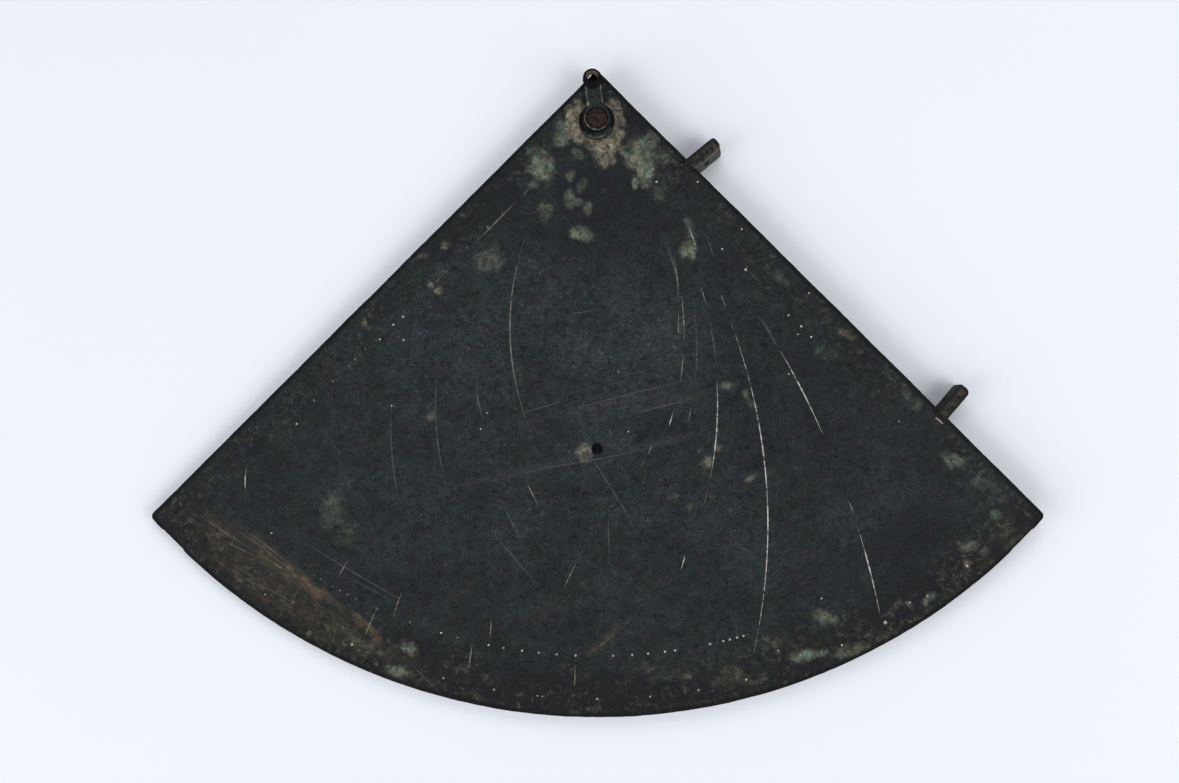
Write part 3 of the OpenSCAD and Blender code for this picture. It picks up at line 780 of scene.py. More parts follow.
def limb_dirt(f, base, mottle, grain, lumps):
    """Brown stains, yellowish flecks and painted glints along the limb and the straight edges, and old
    grime.
    """
    near_edge = f.stored("limb")
    stain = f.mix(f.blotches(3.0, 0.47, 0.62, 21), srgb(22, 24, 27), srgb(37, 34, 26))
    base = f.over(base, f.broken("limb", 2.2, 0.3, 1.0, 0.7), 0.62, f.vary(stain, mottle, 0.5))
    flecks = f.times(f.blotches(1.0, 0.5, 0.6, 22, 5.0, 0.75), near_edge)
    flecks = f.times(flecks, f.blotches(5.0, 0.4, 0.56, 27, roughness=0.6))
    fleck = f.mix(lumps, srgb(64, 60, 40), srgb(84, 92, 80))
    base = f.over(base, flecks, 0.8, f.vary(fleck, f.step(grain, 0.3, 0.7), 0.6))
    crevices = f.blotches(0.8, 0.52, 0.6, 25, roughness=0.7)
    base = f.over(base, crevices, f.times(near_edge, 0.85), srgb(9, 9, 11))
    # Painted highlights: small pale glints near the edges
    base = f.over(base, f.times(f.specks(1.2, 0.13, 0.3), near_edge), 0.75, srgb(118, 116, 90))
    grime = f.mix(f.step(mottle, 0.4, 0.6), srgb(24, 20, 25), srgb(18, 22, 26))
    return f.over(base, f.broken("grime", 1.4, 0.1, 0.9, 0.5), 0.75, f.vary(grime, grain, 0.35))


def opened_copper(f, base):
    """Copper that rubbing has opened, in streaks, and the faint smears across the face."""
    flaky = f.blotches(1.3, 0.36, 0.6, 23, roughness=0.7)
    streaks = f.step(f.noise((7.0, 0.3, 1.0), 4.0, RUB_WAY, 0.7, seed=12), 0.44, 0.68)
    streaks = f.times(streaks, f.lift(flaky, 0.6, 0.4))
    rubbed = f.broken("rubbed", (3.0, 0.7, 1.0), 0.05, 0.95, 0.6, RUB_WAY)
    copper = f.mix(f.noise(0.5, 3.0, seed=13), srgb(62, 49, 38), srgb(134, 110, 90))
    copper = f.mix(f.blotches(2.5, 0.4, 0.58, 14, 3.0, 0.55), copper, srgb(66, 62, 47))
    base = f.over(base, rubbed, f.lift(streaks, 0.6, 0.42), copper)
    smear = f.times(f.stored("smear"), f.blotches(0.9, 0.3, 0.6, 26, 3.0, 0.55))
    return f.over(base, smear, 0.45, srgb(70, 68, 70))


def plate_crusts(f, base, crumbs, lumps):
    """The base with earthy and green crusts over it, and how much crust there is."""
    pits = f.specks(0.62, 0.17, 0.4)
    soil = f.mix(f.step(crumbs, 0.3, 0.68), srgb(78, 74, 61), srgb(154, 147, 128))
    soil = f.over(soil, f.blotches(1.5, 0.5, 0.64, 17, 2.0, 0.55), 0.45, srgb(118, 101, 90))
    soil = f.over(f.vary(soil, lumps, 0.4), pits, 0.8, srgb(50, 40, 34))
    earth = f.broken("earth", 1.1, 0.1, 1.1, 0.9)
    base = f.over(base, earth, 0.95, soil)

    green = f.mix(f.step(crumbs, 0.26, 0.72), srgb(62, 67, 58), srgb(112, 120, 106))
    tan = f.vary(srgb(94, 93, 78), crumbs, 0.35)
    green = f.over(green, f.blotches(1.6, 0.45, 0.58, 18, 3.0, 0.55), 0.75, tan)
    bluish = f.vary(srgb(96, 126, 113), crumbs, 0.3)
    green = f.over(green, f.blotches(1.3, 0.54, 0.64, 20, 3.0, 0.55), 0.75, bluish)
    green = f.over(f.vary(green, lumps, 0.4), pits, 0.85, srgb(24, 26, 24))
    verdigris = f.broken("verdigris", 1.1, 0.1, 1.15, 0.9)
    base = f.over(base, verdigris, 0.95, green)
    crust = f.math("MAXIMUM", earth, verdigris)
    crystals = f.times(crust, f.specks(0.8, 0.13, 0.3))
    return f.over(base, crystals, 0.8, srgb(172, 170, 152)), crust


def plate_patina():
    """Dark bronze patina with green and earthy crusts, rubbed copper, and painted shade that turns the rim
    near black.
    """
    f = Finish("dark_plate_patina", specular=0.15)
    mottle = f.noise(1.5, 4.0, roughness=0.65, seed=2)
    grain = f.noise(0.3, 3.0, roughness=0.7, seed=3)
    crumbs = f.noise(0.5, 4.0, roughness=0.7, seed=15)
    lumps = f.blotches(1.1, 0.36, 0.64, 16, roughness=0.6)
    base = plate_ground(f, mottle, grain)
    base = limb_dirt(f, base, mottle, grain, lumps)
    base = opened_copper(f, base)
    base, crust = plate_crusts(f, base, crumbs, lumps)
    # Painted shade: a near-black band along every edge of the plate
    f.colour(f.over(base, f.step(f.stored("rim"), 0.1, 0.8), 0.9, srgb(5, 5, 6)))
    f.rough(f.math("MAXIMUM", crust, mottle), 0.48, 0.9)
    relief = f.math("ADD", f.times(grain, 0.5), f.times(crumbs, f.math("ADD", crust, 0.25)))
    f.bump(relief, 0.06)
    return f.material


def engraved_metal(name, bright, dark, gap):
    """Metal in an engraved line: bright where it was cleaned, dark where dirt fills it. The higher gap
    is, the more of it is dark."""
    f = Finish(name, roughness=0.5, specular=0.3)
    wear_and_highlight = f.step(f.noise(0.9, 5.0, roughness=0.7), gap - 0.12, gap + 0.12)
    metal = f.vary(bright, f.noise(0.3, 2.0), 0.25)
    f.colour(f.mix(wear_and_highlight, dark, metal))
    f.bump(f.noise(0.12, 2.0), 0.02)
    return f.material


def plate_materials():
    """The plate's materials, in the order in which its cuts name them."""
    return [
        plate_patina(),
        engraved_metal("hole_wall", srgb(24, 22, 20), srgb(8, 8, 8), 0.5),
        engraved_metal("bright_line", srgb(218, 214, 200), srgb(66, 66, 60), 0.47),
        engraved_metal("worn_line", srgb(138, 136, 122), srgb(64, 66, 62), 0.46),
        engraved_metal("faint_line", srgb(80, 84, 82), srgb(40, 44, 45), 0.5),
        engraved_metal("bright_dot", srgb(196, 194, 182), srgb(110, 110, 102), 0.42),
        engraved_metal("dull_dot", srgb(132, 130, 120), srgb(70, 70, 66), 0.5),
        engraved_metal("fine_scratch", srgb(74, 70, 72), srgb(40, 42, 44), 0.47),
        engraved_metal("rubbed_copper", srgb(100, 83, 67), srgb(50, 44, 37), 0.55)
    ]


# Numbers in that list of what the cuts leave. The patina is number 0.
HOLE_WALL, BRIGHT, WORN, FAINT, BRIGHT_DOT, DULL_DOT, SCRATCH, COPPER = range(1, 9)


def link_patina():
    """Green-black patina of the link and the collar, worn pale along the edges, with painted highlights on
    their lower rims and painted shade in near black.
    """
    f = Finish("link_patina", specular=0.1)
    clouds = f.blotches(0.9, 0.38, 0.62, 1)
    grain = f.noise(0.2, 4.0, roughness=0.75, seed=2)
    base = f.mix(clouds, srgb(22, 27, 27), srgb(44, 55, 48))
    base = f.over(base, f.blotches(0.6, 0.52, 0.66, 3, 3.0, 0.55), 0.6, srgb(36, 44, 50))
    base = f.vary(base, f.step(grain, 0.25, 0.75), 0.4)
    base = f.over(base, f.specks(0.7, 0.17, 0.35), 0.8, srgb(10, 10, 10))
    # Pale wear on the edges, and painted highlights on the lower rims of the ring and the collar
    polish = f.lift(f.blotches(0.7, 0.42, 0.6, 7, roughness=0.7), 0.8, 0.2)
    worn = f.times(f.broken("wear_and_highlight", 0.45, 0.3, 1.2, 1.3), polish)
    base = f.over(base, worn, 0.72, f.mix(grain, srgb(64, 70, 64), srgb(166, 164, 148)))
    # Near-black tarnish round the eye, and painted shade on the lower sides and in the gaps beside the
    # collar
    base = f.mix(f.broken("tarnish_and_shade", 0.5, 0.1, 0.85, 0.5), base, srgb(3, 3, 3))
    olive = f.mix(grain, srgb(40, 37, 26), srgb(128, 118, 90))
    base = f.over(base, f.broken("olive", 0.5, 0.15, 1.2, 0.8), 0.7, olive)
    earth = f.mix(grain, srgb(90, 82, 73), srgb(176, 163, 151))
    f.colour(f.over(base, f.broken("earth", 0.3, 0.2, 0.9, 0.9), 0.85, earth))
    f.rough(grain, 0.42, 0.75)
    f.bump(f.math("ADD", grain, f.times(clouds, 0.5)), 0.05)
    return f.material


def rusted_iron():
    """Dull red-brown iron of the rivet."""
    f = Finish("rusted_iron", specular=0.15)
    clouds = f.blotches(0.6, 0.38, 0.62, 1, roughness=0.7)
    grain = f.noise(0.18, 4.0, roughness=0.75, seed=2)
    base = f.mix(clouds, srgb(27, 22, 22), srgb(62, 48, 42))
    base = f.over(base, f.blotches(0.9, 0.5, 0.65, 3, 2.0, 0.55), 0.6, srgb(54, 36, 36))
    base = f.vary(base, f.step(grain, 0.25, 0.75), 0.55)
    f.colour(f.over(base, f.specks(0.5, 0.08, 0.3), 0.7, srgb(92, 74, 64)))
    f.rough(grain, 0.75, 0.95)
    f.bump(f.math("ADD", grain, clouds), 0.08)
    return f.material


def vane_bronze():
    """Brown-green bronze of the sight vanes, with copper showing at the tips, pale wear and a painted
    highlight on the edges, and painted shade as a black outline.
    """
    f = Finish("worn_vane_bronze", specular=0.2)
    clouds = f.blotches(1.0, 0.38, 0.62, 1, roughness=0.7)
    grain = f.noise(0.22, 4.0, roughness=0.75, seed=2)
    base = f.mix(clouds, srgb(22, 23, 19), srgb(48, 46, 36))
    base = f.over(base, f.blotches(0.7, 0.5, 0.62, 3, 3.0, 0.55), 0.75, srgb(30, 44, 34))
    base = f.over(base, f.blotches(0.6, 0.52, 0.62, 4, 3.0, 0.55), 0.7, srgb(58, 56, 43))
    base = f.vary(base, f.step(grain, 0.25, 0.75), 0.55)
    copper = f.mix(grain, srgb(54, 40, 34), srgb(108, 88, 76))
    base = f.over(base, f.broken("copper", 0.4, 0.3, 1.3, 1.5), 0.6, copper)
    # Pale where worn, and pale as a painted highlight on the pale side
    worn = f.mix(grain, srgb(74, 75, 72), srgb(116, 116, 110))
    base = f.over(base, f.broken("wear_and_highlight", 0.5, 0.3, 1.1, 0.6), 0.7, worn)
    base = f.over(base, f.specks(0.8, 0.42, 0.5), 0.9, srgb(6, 6, 6))
    # Painted shade: the black outline along the vane's edges
    f.colour(f.over(base, f.broken("outline", 0.5, 0.1, 0.75, 0.6), 0.92, srgb(5, 5, 5)))
    f.rough(grain, 0.42, 0.8)
    f.bump(f.math("ADD", grain, f.times(clouds, 0.4)), 0.06)
    return f.material


def soft_solder():
    """Grey-white solder at the inner end of a notch, darkened where dirt lies on it."""
    f = Finish("soft_solder", specular=0.2)
    clean = f.broken("clean", 0.3, 0.25, 0.85, 0.8)
    grain = f.noise(0.16, 3.0, roughness=0.7)
    dark = f.mix(f.step(grain, 0.3, 0.7), srgb(9, 9, 9), srgb(34, 32, 28))
    pale = f.mix(grain, srgb(104, 98, 86), srgb(190, 182, 166))
    f.colour(f.mix(clean, dark, pale))
    f.rough(grain, 0.35, 0.65)
    f.bump(grain, 0.05)
    return f.material


# The plate

def snap_to_corner(spot, centre, radius, start, end):
    """Moves a point that lies outside a rounded corner onto its arc. The corner turns from one unit
    direction to the other, anticlockwise."""
    out = spot - centre
    if start.cross(out) > 0 and out.cross(end) > 0 and out.length > radius:
        return centre + out.normalized() * radius
    return spot


def corner_arcs():
    """Centre, radius and the two end directions of the plate's three rounded corners."""
    across = EDGE_MARGIN - CORNER_R
    along = math.sqrt((LIMB_R - CORNER_R) ** 2 - across ** 2)
    right = Vector(((across + along) * SIN_45, (across - along) * SIN_45))
    left = Vector((-right.x, right.y))
    apex = Vector((0, APEX_Y - APEX_R * math.sqrt(2)))
    up_right = Vector((SIN_45, SIN_45))
    up_left = Vector((-SIN_45, SIN_45))
    centre = CENTRE.to_2d()
    return [
        (right + centre, CORNER_R, right.normalized(), up_right),
        (left + centre, CORNER_R, up_left, left.normalized()),
        (apex, APEX_R, up_right, up_left)
    ]


def place_order(corners):
    """A number that sorts the elements of a mesh by the middle of their corners: by their height first, then
    by their way up the plate, then from left to right."""
    x, y, z = sum((corner.co for corner in corners), Vector()) / len(corners)
    return x + 1000 * y + 1000000 * z


def plate_blank():
    """The plain plate: a grid of small faces, cut to the quarter circle, thickened and bevelled."""
    bm = bmesh.new()
    count = round(EDGE_LENGTH / GRID_STEP)
    bmesh.ops.create_grid(bm, x_segments=count, y_segments=count, size=EDGE_LENGTH / 2)
    bmesh.ops.rotate(bm, cent=(0, 0, 0), matrix=Matrix.Rotation(math.radians(45), 3, "Z"), verts=bm.verts)
    middle = APEX_Y - EDGE_LENGTH * SIN_45
    bmesh.ops.translate(bm, vec=(0, middle, PLATE_T), verts=bm.verts)

    # Corners past this reach move onto the limb, and faces with no other corners are deleted
    past = LIMB_R - 0.12
    reach = {vertex: (vertex.co - CENTRE).to_2d().length for vertex in bm.verts}
    outside = [face for face in bm.faces if all(reach[v] > past for v in face.verts)]
    bmesh.ops.delete(bm, geom=outside, context="FACES")
    arcs = corner_arcs()
    for vertex in bm.verts:
        spot = vertex.co.to_2d()
        out = spot - CENTRE.to_2d()
        if out.length > past:
            spot = CENTRE.to_2d() + out.normalized() * LIMB_R
        for arc in arcs:
            spot = snap_to_corner(spot, *arc)
        vertex.co = (spot.x, spot.y, PLATE_T)
    crusty = [
        face for face in bm.faces if (face.calc_center_median() - CENTRE).to_2d().length < CRUSTY_REACH
    ]
    edges = list({edge for face in crusty for edge in face.edges})
    bmesh.ops.subdivide_edges(bm, edges=edges, cuts=1, use_grid_fill=True)

    grown = bmesh.ops.extrude_face_region(bm, geom=bm.faces[:], use_keep_orig=True)["geom"]
    lower = [item for item in grown if isinstance(item, bmesh.types.BMVert)]
    bmesh.ops.translate(bm, vec=(0, 0, -PLATE_T), verts=lower)
    bmesh.ops.recalc_face_normals(bm, faces=bm.faces)
    walls = [face for face in bm.faces if abs(face.normal.z) < 0.5]
    upright = [e for face in walls for e in face.edges if abs(e.verts[0].co.z - e.verts[1].co.z) > 0.5]
    rims = [e for face in walls for e in face.edges if abs(e.verts[0].co.z - e.verts[1].co.z) < 0.5]
    bmesh.ops.subdivide_edges(bm, edges=list(set(upright)), cuts=2)
    rims = [e for e in set(rims) if e.is_valid]
    bmesh.ops.bevel(
        bm, geom=rims, offset=RIM_BEVEL, segments=2, profile=0.5, affect="EDGES", material=-1,
        clamp_overlap=True
    )

    # These operators leave new elements in an order that changes from run to run, so all are sorted
    bm.verts.sort(key=lambda vertex: place_order([vertex]))
    bm.edges.sort(key=lambda edge: place_order(edge.verts))
    bm.faces.sort(key=lambda face: place_order(face.verts))
    return to_object(bm, "quadrant_plate_cast")


def to_rim(points):
    """Distance of each point from the nearest edge of the plate, and the way out to it."""
    x = points[:, 0]
    y = points[:, 1] - CENTRE_Y
    reach = np.hypot(x, y)
    gaps = np.array([EDGE_MARGIN - (x + y) * SIN_45, EDGE_MARGIN - (y - x) * SIN_45, LIMB_R - reach])
    safe = np.maximum(reach, 1e-6)
    ways = np.array([
        np.column_stack((np.full(len(x), SIN_45), np.full(len(x), SIN_45))),
        np.column_stack((np.full(len(x), -SIN_45), np.full(len(x), SIN_45))),
        np.column_stack((x / safe, y / safe))
    ])
    nearest = gaps.argmin(axis=0)
    return gaps.min(axis=0), ways[nearest, np.arange(len(x))]


def age_plate(piece):
    """Gives the plate its uneven faces, its crusts and its slightly ragged edges."""
    mesh = piece.data
    places = positions(mesh)
    gap, out = to_rim(places)
    upper = fade(places[:, 2], PLATE_T - 0.45, PLATE_T - 0.1)
    lower = fade(places[:, 2], 0.45, 0.1)
    flat = at_level(places, BACK_WAVE_LEVEL)
    back = 0.03 * noise_at(flat, 9.0, 4.4) + 0.015 * noise_at(flat, 1.6, 7.7) + 0.08 * back_crust(places)
    places[:, 2] += upper * face_relief(places) - lower * back
    wander = 0.05 * noise_at(places, 5.0, 9.1) + 0.035 * noise_at(places, 1.1, 3.3) + 0.03
    places[:, :2] += out * (wander * fade(gap, 0.7, 0.15))[:, None]
    move_to(mesh, places)


def on_edge(along, lean, twist):
    """The place of a vane on the right edge, as a matrix. The vane's own +Y leaves the edge and its own
    +X runs towards the limb."""
    start = Matrix.Translation((along * SIN_45, APEX_Y - along * SIN_45, PLATE_T))
    turn = Matrix.Rotation(math.radians(lean - 45), 4, "Z")
    bend = Matrix.Rotation(math.radians(-twist), 4, "Y")
    return start @ turn @ bend @ Matrix.Translation((0, 0, -PLATE_T))


UPPER_VANE_PLACE = on_edge(UPPER_VANE_AT, *UPPER_VANE_TURNS)
LOWER_VANE_PLACE = on_edge(LOWER_VANE_AT, *LOWER_VANE_TURNS)


def block(low, high):
    """A box from its lowest to its highest corner."""
    bm = bmesh.new()
    bmesh.ops.create_cube(bm, size=1.0)
    size = Vector(high) - Vector(low)
    bmesh.ops.scale(bm, vec=size, verts=bm.verts)
    bmesh.ops.translate(bm, vec=(Vector(low) + Vector(high)) / 2, verts=bm.verts)
    return bm


def rod(radius, low, high, y=0.0, segments=40):
    """An upright cylinder."""
    bm = bmesh.new()
    bmesh.ops.create_cone(
        bm, cap_ends=True, segments=segments, radius1=radius, radius2=radius, depth=high - low
    )
    bmesh.ops.translate(bm, vec=(0, y, (low + high) / 2), verts=bm.verts)
    return bm


def notch(place):
    """A cutter for the notch of a vane and its solder."""
    half = VANE_T / 2 + NOTCH_FIT
    bm = block((-half, -TENON_DEPTH - SOLDER_T, -1), (half, 1, PLATE_T + 1))
    bmesh.ops.transform(bm, matrix=place, verts=bm.verts)
    return bm


def engrave(piece, paths, width, depth, material):
    """Cuts lines along the paths into the plate's face."""
    for layer in in_layers(paths):
        cut(piece, join([groove(path, width, depth) for path in layer], "lines", piece, material))


def punch(piece, spots, material):
    """Punches dots of (x, y, radius) into the plate's face."""
    cut(piece, join([dot(*spot) for spot in spots], "dots", piece, material))


def cut_plate(piece):
    """Cuts the openings, the lines, the dots and the scratches."""
    openings = [
        rod(HOLE_R, -1, PLATE_T + 1), rod(SHANK_R + 0.02, -1, PLATE_T + 1, RIVET_Y),
        notch(UPPER_VANE_PLACE), notch(LOWER_VANE_PLACE)
    ]
    for opening in openings:
        cut(piece, join([opening], "opening", piece, HOLE_WALL))
    engrave(piece, line_paths(ARCS_BRIGHT, STROKES_BRIGHT), *BRIGHT_LINE, BRIGHT)
    engrave(piece, line_paths(ARCS_WORN, STROKES_WORN), *WORN_LINE, WORN)
    engrave(piece, line_paths(ARCS_FAINT, STROKES_FAINT), *FAINT_LINE, FAINT)
    punch(piece, bright_dots(), BRIGHT_DOT)
    punch(piece, dull_dots(), DULL_DOT)
    engrave(piece, [smooth_path(points, 1.2) for points in SCRATCHES], *SCRATCH_LINE, SCRATCH)
    engrave(piece, [smooth_path(points, 0.9) for points in RUBBED_SCRATCHES], *COPPER_LINE, COPPER)


def stain_plate(mesh):
    """Keeps the plate's crusts and stains on its mesh, and how near its edges each place is, which also sets
    the painted shade along the rim.
    """
    places = positions(mesh)
    on_face = fade(places[:, 2], PLATE_T - 0.5, PLATE_T - 0.15)
    on_back = fade(places[:, 2], 0.5, 0.15)
    masks = {name: level * on_face for name, level in face_masks(places).items()}
    masks["verdigris"] = np.maximum(masks["verdigris"], back_crust(places) * on_back)
    for name, level in masks.items():
        store(mesh, name, level)
    gap, _ = to_rim(places)
    # Painted shade along the edges: the rim goes black within 0.8 mm of them
    store(mesh, "rim", fade(gap, 0.8, 0.25))
    reach = np.hypot(places[:, 0], places[:, 1] - CENTRE_Y)
    store(mesh, "limb", np.maximum(fade(reach, LIMB_R - 12, LIMB_R - 1), 0.6 * fade(gap, 9, 1)))


def make_plate():
    """The engraved plate, from the blank to its crusts and stains."""
    piece = plate_blank()
    age_plate(piece)
    for material in plate_materials():
        piece.data.materials.append(material)
    cut_plate(piece)
    stain_plate(piece.data)
    finish_piece(piece, None, "quadrant", ["quadrant_plate"], sharp=30)


# The small pieces

# How often a piece's grid is smoothed, and how often more to find its outer edges
WORN_ROUNDS = 2
EDGE_ROUNDS = 6


def turned(profile, segments=64):
    """A solid turned about the Z axis from a profile of (radius, height). One that starts on the axis has
    to end on it, and any other is closed into a ring."""
    bm = bmesh.new()
    spots = [bm.verts.new((r, 0, z)) for r, z in profile]
    closed = profile[0][0] > 0
    pairs = list(zip(spots, spots[1:] + spots[:1] if closed else spots[1:]))
    edges = [bm.edges.new(pair) for pair in pairs]
    bmesh.ops.spin(
        bm, geom=spots + edges, cent=(0, 0, 0), axis=(0, 0, 1), dvec=(0, 0, 0),
        angle=2 * math.pi, steps=segments, use_merge=True
    )
    bmesh.ops.remove_doubles(bm, verts=bm.verts, dist=0.0001)
    bmesh.ops.recalc_face_normals(bm, faces=bm.faces)
    return bm


def smoothed(mesh, rounds):
    """A bmesh of the mesh, smoothed so many times."""
    bm = bmesh.new()
    bm.from_mesh(mesh)
    for _ in range(rounds):
        bmesh.ops.smooth_vert(
            bm, verts=bm.verts, factor=0.5, use_axis_x=True, use_axis_y=True, use_axis_z=True
        )
    return bm


def worn_body(parts, name, grain, lumps, lump_size, seed):
    """One worn solid from overlapping parts: joined in a fine grid, rounded and made uneven.
    grain is the grid's step, and lumps is the height of the unevenness."""
    piece = join(parts, name)
    tool = piece.modifiers.new("grid", "REMESH")
    tool.mode = "VOXEL"
    tool.voxel_size = grain
    apply_modifiers(piece)
    mesh = piece.data
    bm = smoothed(mesh, WORN_ROUNDS)
    bm.to_mesh(mesh)
    bm.free()
    places = positions(mesh)
    uneven = noise_at(places, lump_size, seed) + 0.5 * noise_at(places, lump_size * 0.4, seed + 2)
    move_to(mesh, places + normals(mesh) * (lumps * uneven)[:, None])
    store(mesh, "wear_and_highlight", edge_wear(mesh))
    return piece


def edge_wear(mesh):
    """How far each vertex stands out of its surroundings, from 0 to 1: high on outer edges."""
    bm = smoothed(mesh, EDGE_ROUNDS)
    smooth = bpy.data.meshes.new("smooth")
    bm.to_mesh(smooth)
    bm.free()
    stand = ((positions(mesh) - positions(smooth)) * normals(mesh)).sum(axis=1)
    bpy.data.meshes.remove(smooth)
    return fade(stand, 0.004, 0.03)


def spot_level(mesh, spots):
    """Strength of round stains of [x, y, z, radius] on a piece, from 0 to 1."""
    places = positions(mesh)
    level = np.zeros(len(places))
    for x, y, z, radius in spots:
        reach = np.linalg.norm(places - np.array((x, y, z)), axis=1) / radius
        level = np.maximum(level, fade(reach, 1.2, 0.5))
    return level


def at_rivet(bm, turn=0.0):
    """Moves a part that was made at the origin to the rivet."""
    place = Matrix.Translation(RIVET) @ Matrix.Rotation(math.radians(turn), 4, "Z")
    bmesh.ops.transform(bm, matrix=place, verts=bm.verts)
    return bm


def raise_stored(mesh, name, level):
    """Lifts the numbers kept on the mesh's vertices under a name to at least the given ones."""
    data = mesh.attributes[name].data
    values = np.zeros(len(mesh.vertices), dtype=np.float32)
    data.foreach_get("value", values)
    data.foreach_set("value", np.maximum(values, level).astype(np.float32))


def link_parts():
    """The ring, the eye and the tongue of the link, in their places at the rivet."""
    ring = turned([(RING_BORE, LINK_Z), (RING_R, LINK_Z), (RING_R, LINK_TOP), (RING_BORE, LINK_TOP)])
    eye = turned([(EYE_HOLE_R, LINK_Z), (EYE_R, LINK_Z), (EYE_R, LINK_TOP), (EYE_HOLE_R, LINK_TOP)], 48)
    bmesh.ops.translate(eye, vec=(0, EYE_OUT, 0), verts=eye.verts)
    half = TONGUE_W / 2
    tongue = block((-half, RING_BORE + 0.6, LINK_Z), (half, EYE_OUT - EYE_HOLE_R - 0.25, LINK_TOP))
    ridges = [
        e for e in tongue.edges
        if all(v.co.z > LINK_Z + 0.1 for v in e.verts) and abs(e.verts[0].co.y - e.verts[1].co.y) > 1
    ]
    bmesh.ops.bevel(
        tongue, geom=ridges, offset=0.3, segments=2, profile=0.5, affect="EDGES", material=-1
    )
    return [at_rivet(part, LINK_LEAN) for part in (ring, eye, tongue)]


def stain_link(mesh):
    """Keeps the link's worn edges and the painted highlight on the ring's lower rim, its tarnish with
    painted shade and shadow, and its bits of earth on its mesh.
    They are placed in the link's own directions, with +Y from the rivet to the eye."""
    back = Matrix.Rotation(math.radians(-LINK_LEAN), 3, "Z")
    own = np.array([back @ (Vector(p) - RIVET) for p in positions(mesh)])
    on_tongue = fade(own[:, 1], RING_R - 0.5, RING_R) * fade(own[:, 1], EYE_OUT - 0.6, EYE_OUT - 1.2)
    beside = fade(np.abs(np.abs(own[:, 0]) - (TONGUE_W / 2 - 0.1)), 0.36, 0.06)
    raise_stored(mesh, "wear_and_highlight", on_tongue * beside)
    reach = np.hypot(own[:, 0], own[:, 1])
    turn = np.degrees(np.arctan2(own[:, 1], own[:, 0]))
    # Painted highlight: the ring's outer rim is pale along its lower side
    lit_lower_rim = fade(np.abs(reach - RING_R + 0.25), 0.3, 0.1) * fade(np.abs(turn + 95), 50, 25)
    raise_stored(mesh, "wear_and_highlight", 0.8 * lit_lower_rim)
    from_eye = np.hypot(own[:, 0], own[:, 1] - EYE_OUT)
    round_eye = fade(from_eye, EYE_R + 0.8, EYE_R - 0.3)
    # Painted shadow: dark crescents on the ring to the left and right of the collar
    side = fade(np.abs(turn - 5), 50, 25) + fade(np.abs(np.abs(turn) - 175), 40, 20)
    shaded = 0.85 * side * fade(np.abs(reach - 2.4), 0.35, 0.1)
    # Painted shade: all of the link below its top face is darker
    low = 0.4 * fade(own[:, 2], LINK_TOP - 0.1, LINK_TOP - 0.5)
    store(mesh, "tarnish_and_shade", np.maximum(np.maximum(round_eye, shaded), low))
    olive = spot_level(mesh, [(-0.75, RIVET_Y + EYE_OUT + 0.7, LINK_TOP, 1.2)])
    store(mesh, "olive", olive * fade(from_eye, EYE_R - 0.1, EYE_R - 0.45))
    store(mesh, "earth", spot_level(mesh, [
        (-1.35, RIVET_Y + 2.5, LINK_TOP, 0.36), (1.05, RIVET_Y + 2.95, LINK_TOP, 0.36)
    ]))


def make_link(material):
    """The plumb link: a ring round the rivet, a tongue with worn edges, and the eye for the line."""
    piece = worn_body(link_parts(), "plumb_link_worn", grain=0.07, lumps=0.022, lump_size=0.8, seed=2.2)
    stain_link(piece.data)
    finish_piece(piece, material, "link", ["plumb_link"])


def make_collar(material):
    """The collar: a cup round the rivet's head, with a thin rim painted pale at the lower left as a
    highlight, and painted shade below it.
    """
    cup_r = COLLAR_R - RIM_WALL
    wall = turned([
        (SHANK_R + 0.02, COLLAR_Z), (COLLAR_R, COLLAR_Z), (COLLAR_R, COLLAR_TOP),
        (cup_r, COLLAR_TOP), (cup_r, HEAD_Z), (SHANK_R + 0.02, HEAD_Z)
    ])
    piece = worn_body(
        [at_rivet(wall)], "rivet_collar_worn", grain=0.055, lumps=0.014, lump_size=0.6, seed=4.1
    )
    mesh = piece.data
    places = positions(mesh)
    turn = np.arctan2(places[:, 1] - RIVET_Y, places[:, 0])
    # The rim waves up and down a little
    high = fade(places[:, 2], COLLAR_TOP - 0.6, COLLAR_TOP)
    places[:, 2] += 0.05 * high * np.sin(2 * turn + 0.7)
    move_to(mesh, places)
    # Painted highlight: the top of the rim is pale, most at the lower left and not at all at the upper right
    shine = fade(places[:, 2], COLLAR_TOP - 0.2, COLLAR_TOP - 0.08)
    raise_stored(mesh, "wear_and_highlight", shine * (0.5 - 0.5 * np.sin(turn + 0.45)))
    # Painted shade: the collar goes dark below its rim
    store(mesh, "tarnish_and_shade", fade(places[:, 2], COLLAR_TOP - 0.5, COLLAR_TOP - 0.9))
    finish_piece(piece, material, "quadrant", ["rivet_collar"])


def make_rivet():
    """The iron rivet: a rough head in the collar, the shank, and the end hammered flat behind the plate."""
    body = turned([
        (0, -PEEN_H), (0.7, -PEEN_H + 0.03), (1.3, -PEEN_H + 0.17), (1.7, -PEEN_H + 0.4), (PEEN_R, -0.02),
        (SHANK_R, -0.02), (SHANK_R, HEAD_Z), (HEAD_R, HEAD_Z), (HEAD_R, HEAD_TOP - 0.15),
        (HEAD_R - 0.2, HEAD_TOP - 0.03), (0.7, HEAD_TOP), (0, HEAD_TOP)
    ])
    piece = worn_body(
        [at_rivet(body)], "centre_rivet_rusted", grain=0.07, lumps=0.02, lump_size=0.5, seed=5.5
    )
    mesh = piece.data
    places = positions(mesh)
    # The top of the head is eaten by rust
    top = fade(places[:, 2], HEAD_TOP - 0.4, HEAD_TOP - 0.1)
    places[:, 2] += top * (0.07 * noise_at(places, 0.45, 1.9) - 0.05)
    move_to(mesh, places)
    finish_piece(piece, rusted_iron(), "quadrant", ["centre_rivet"])


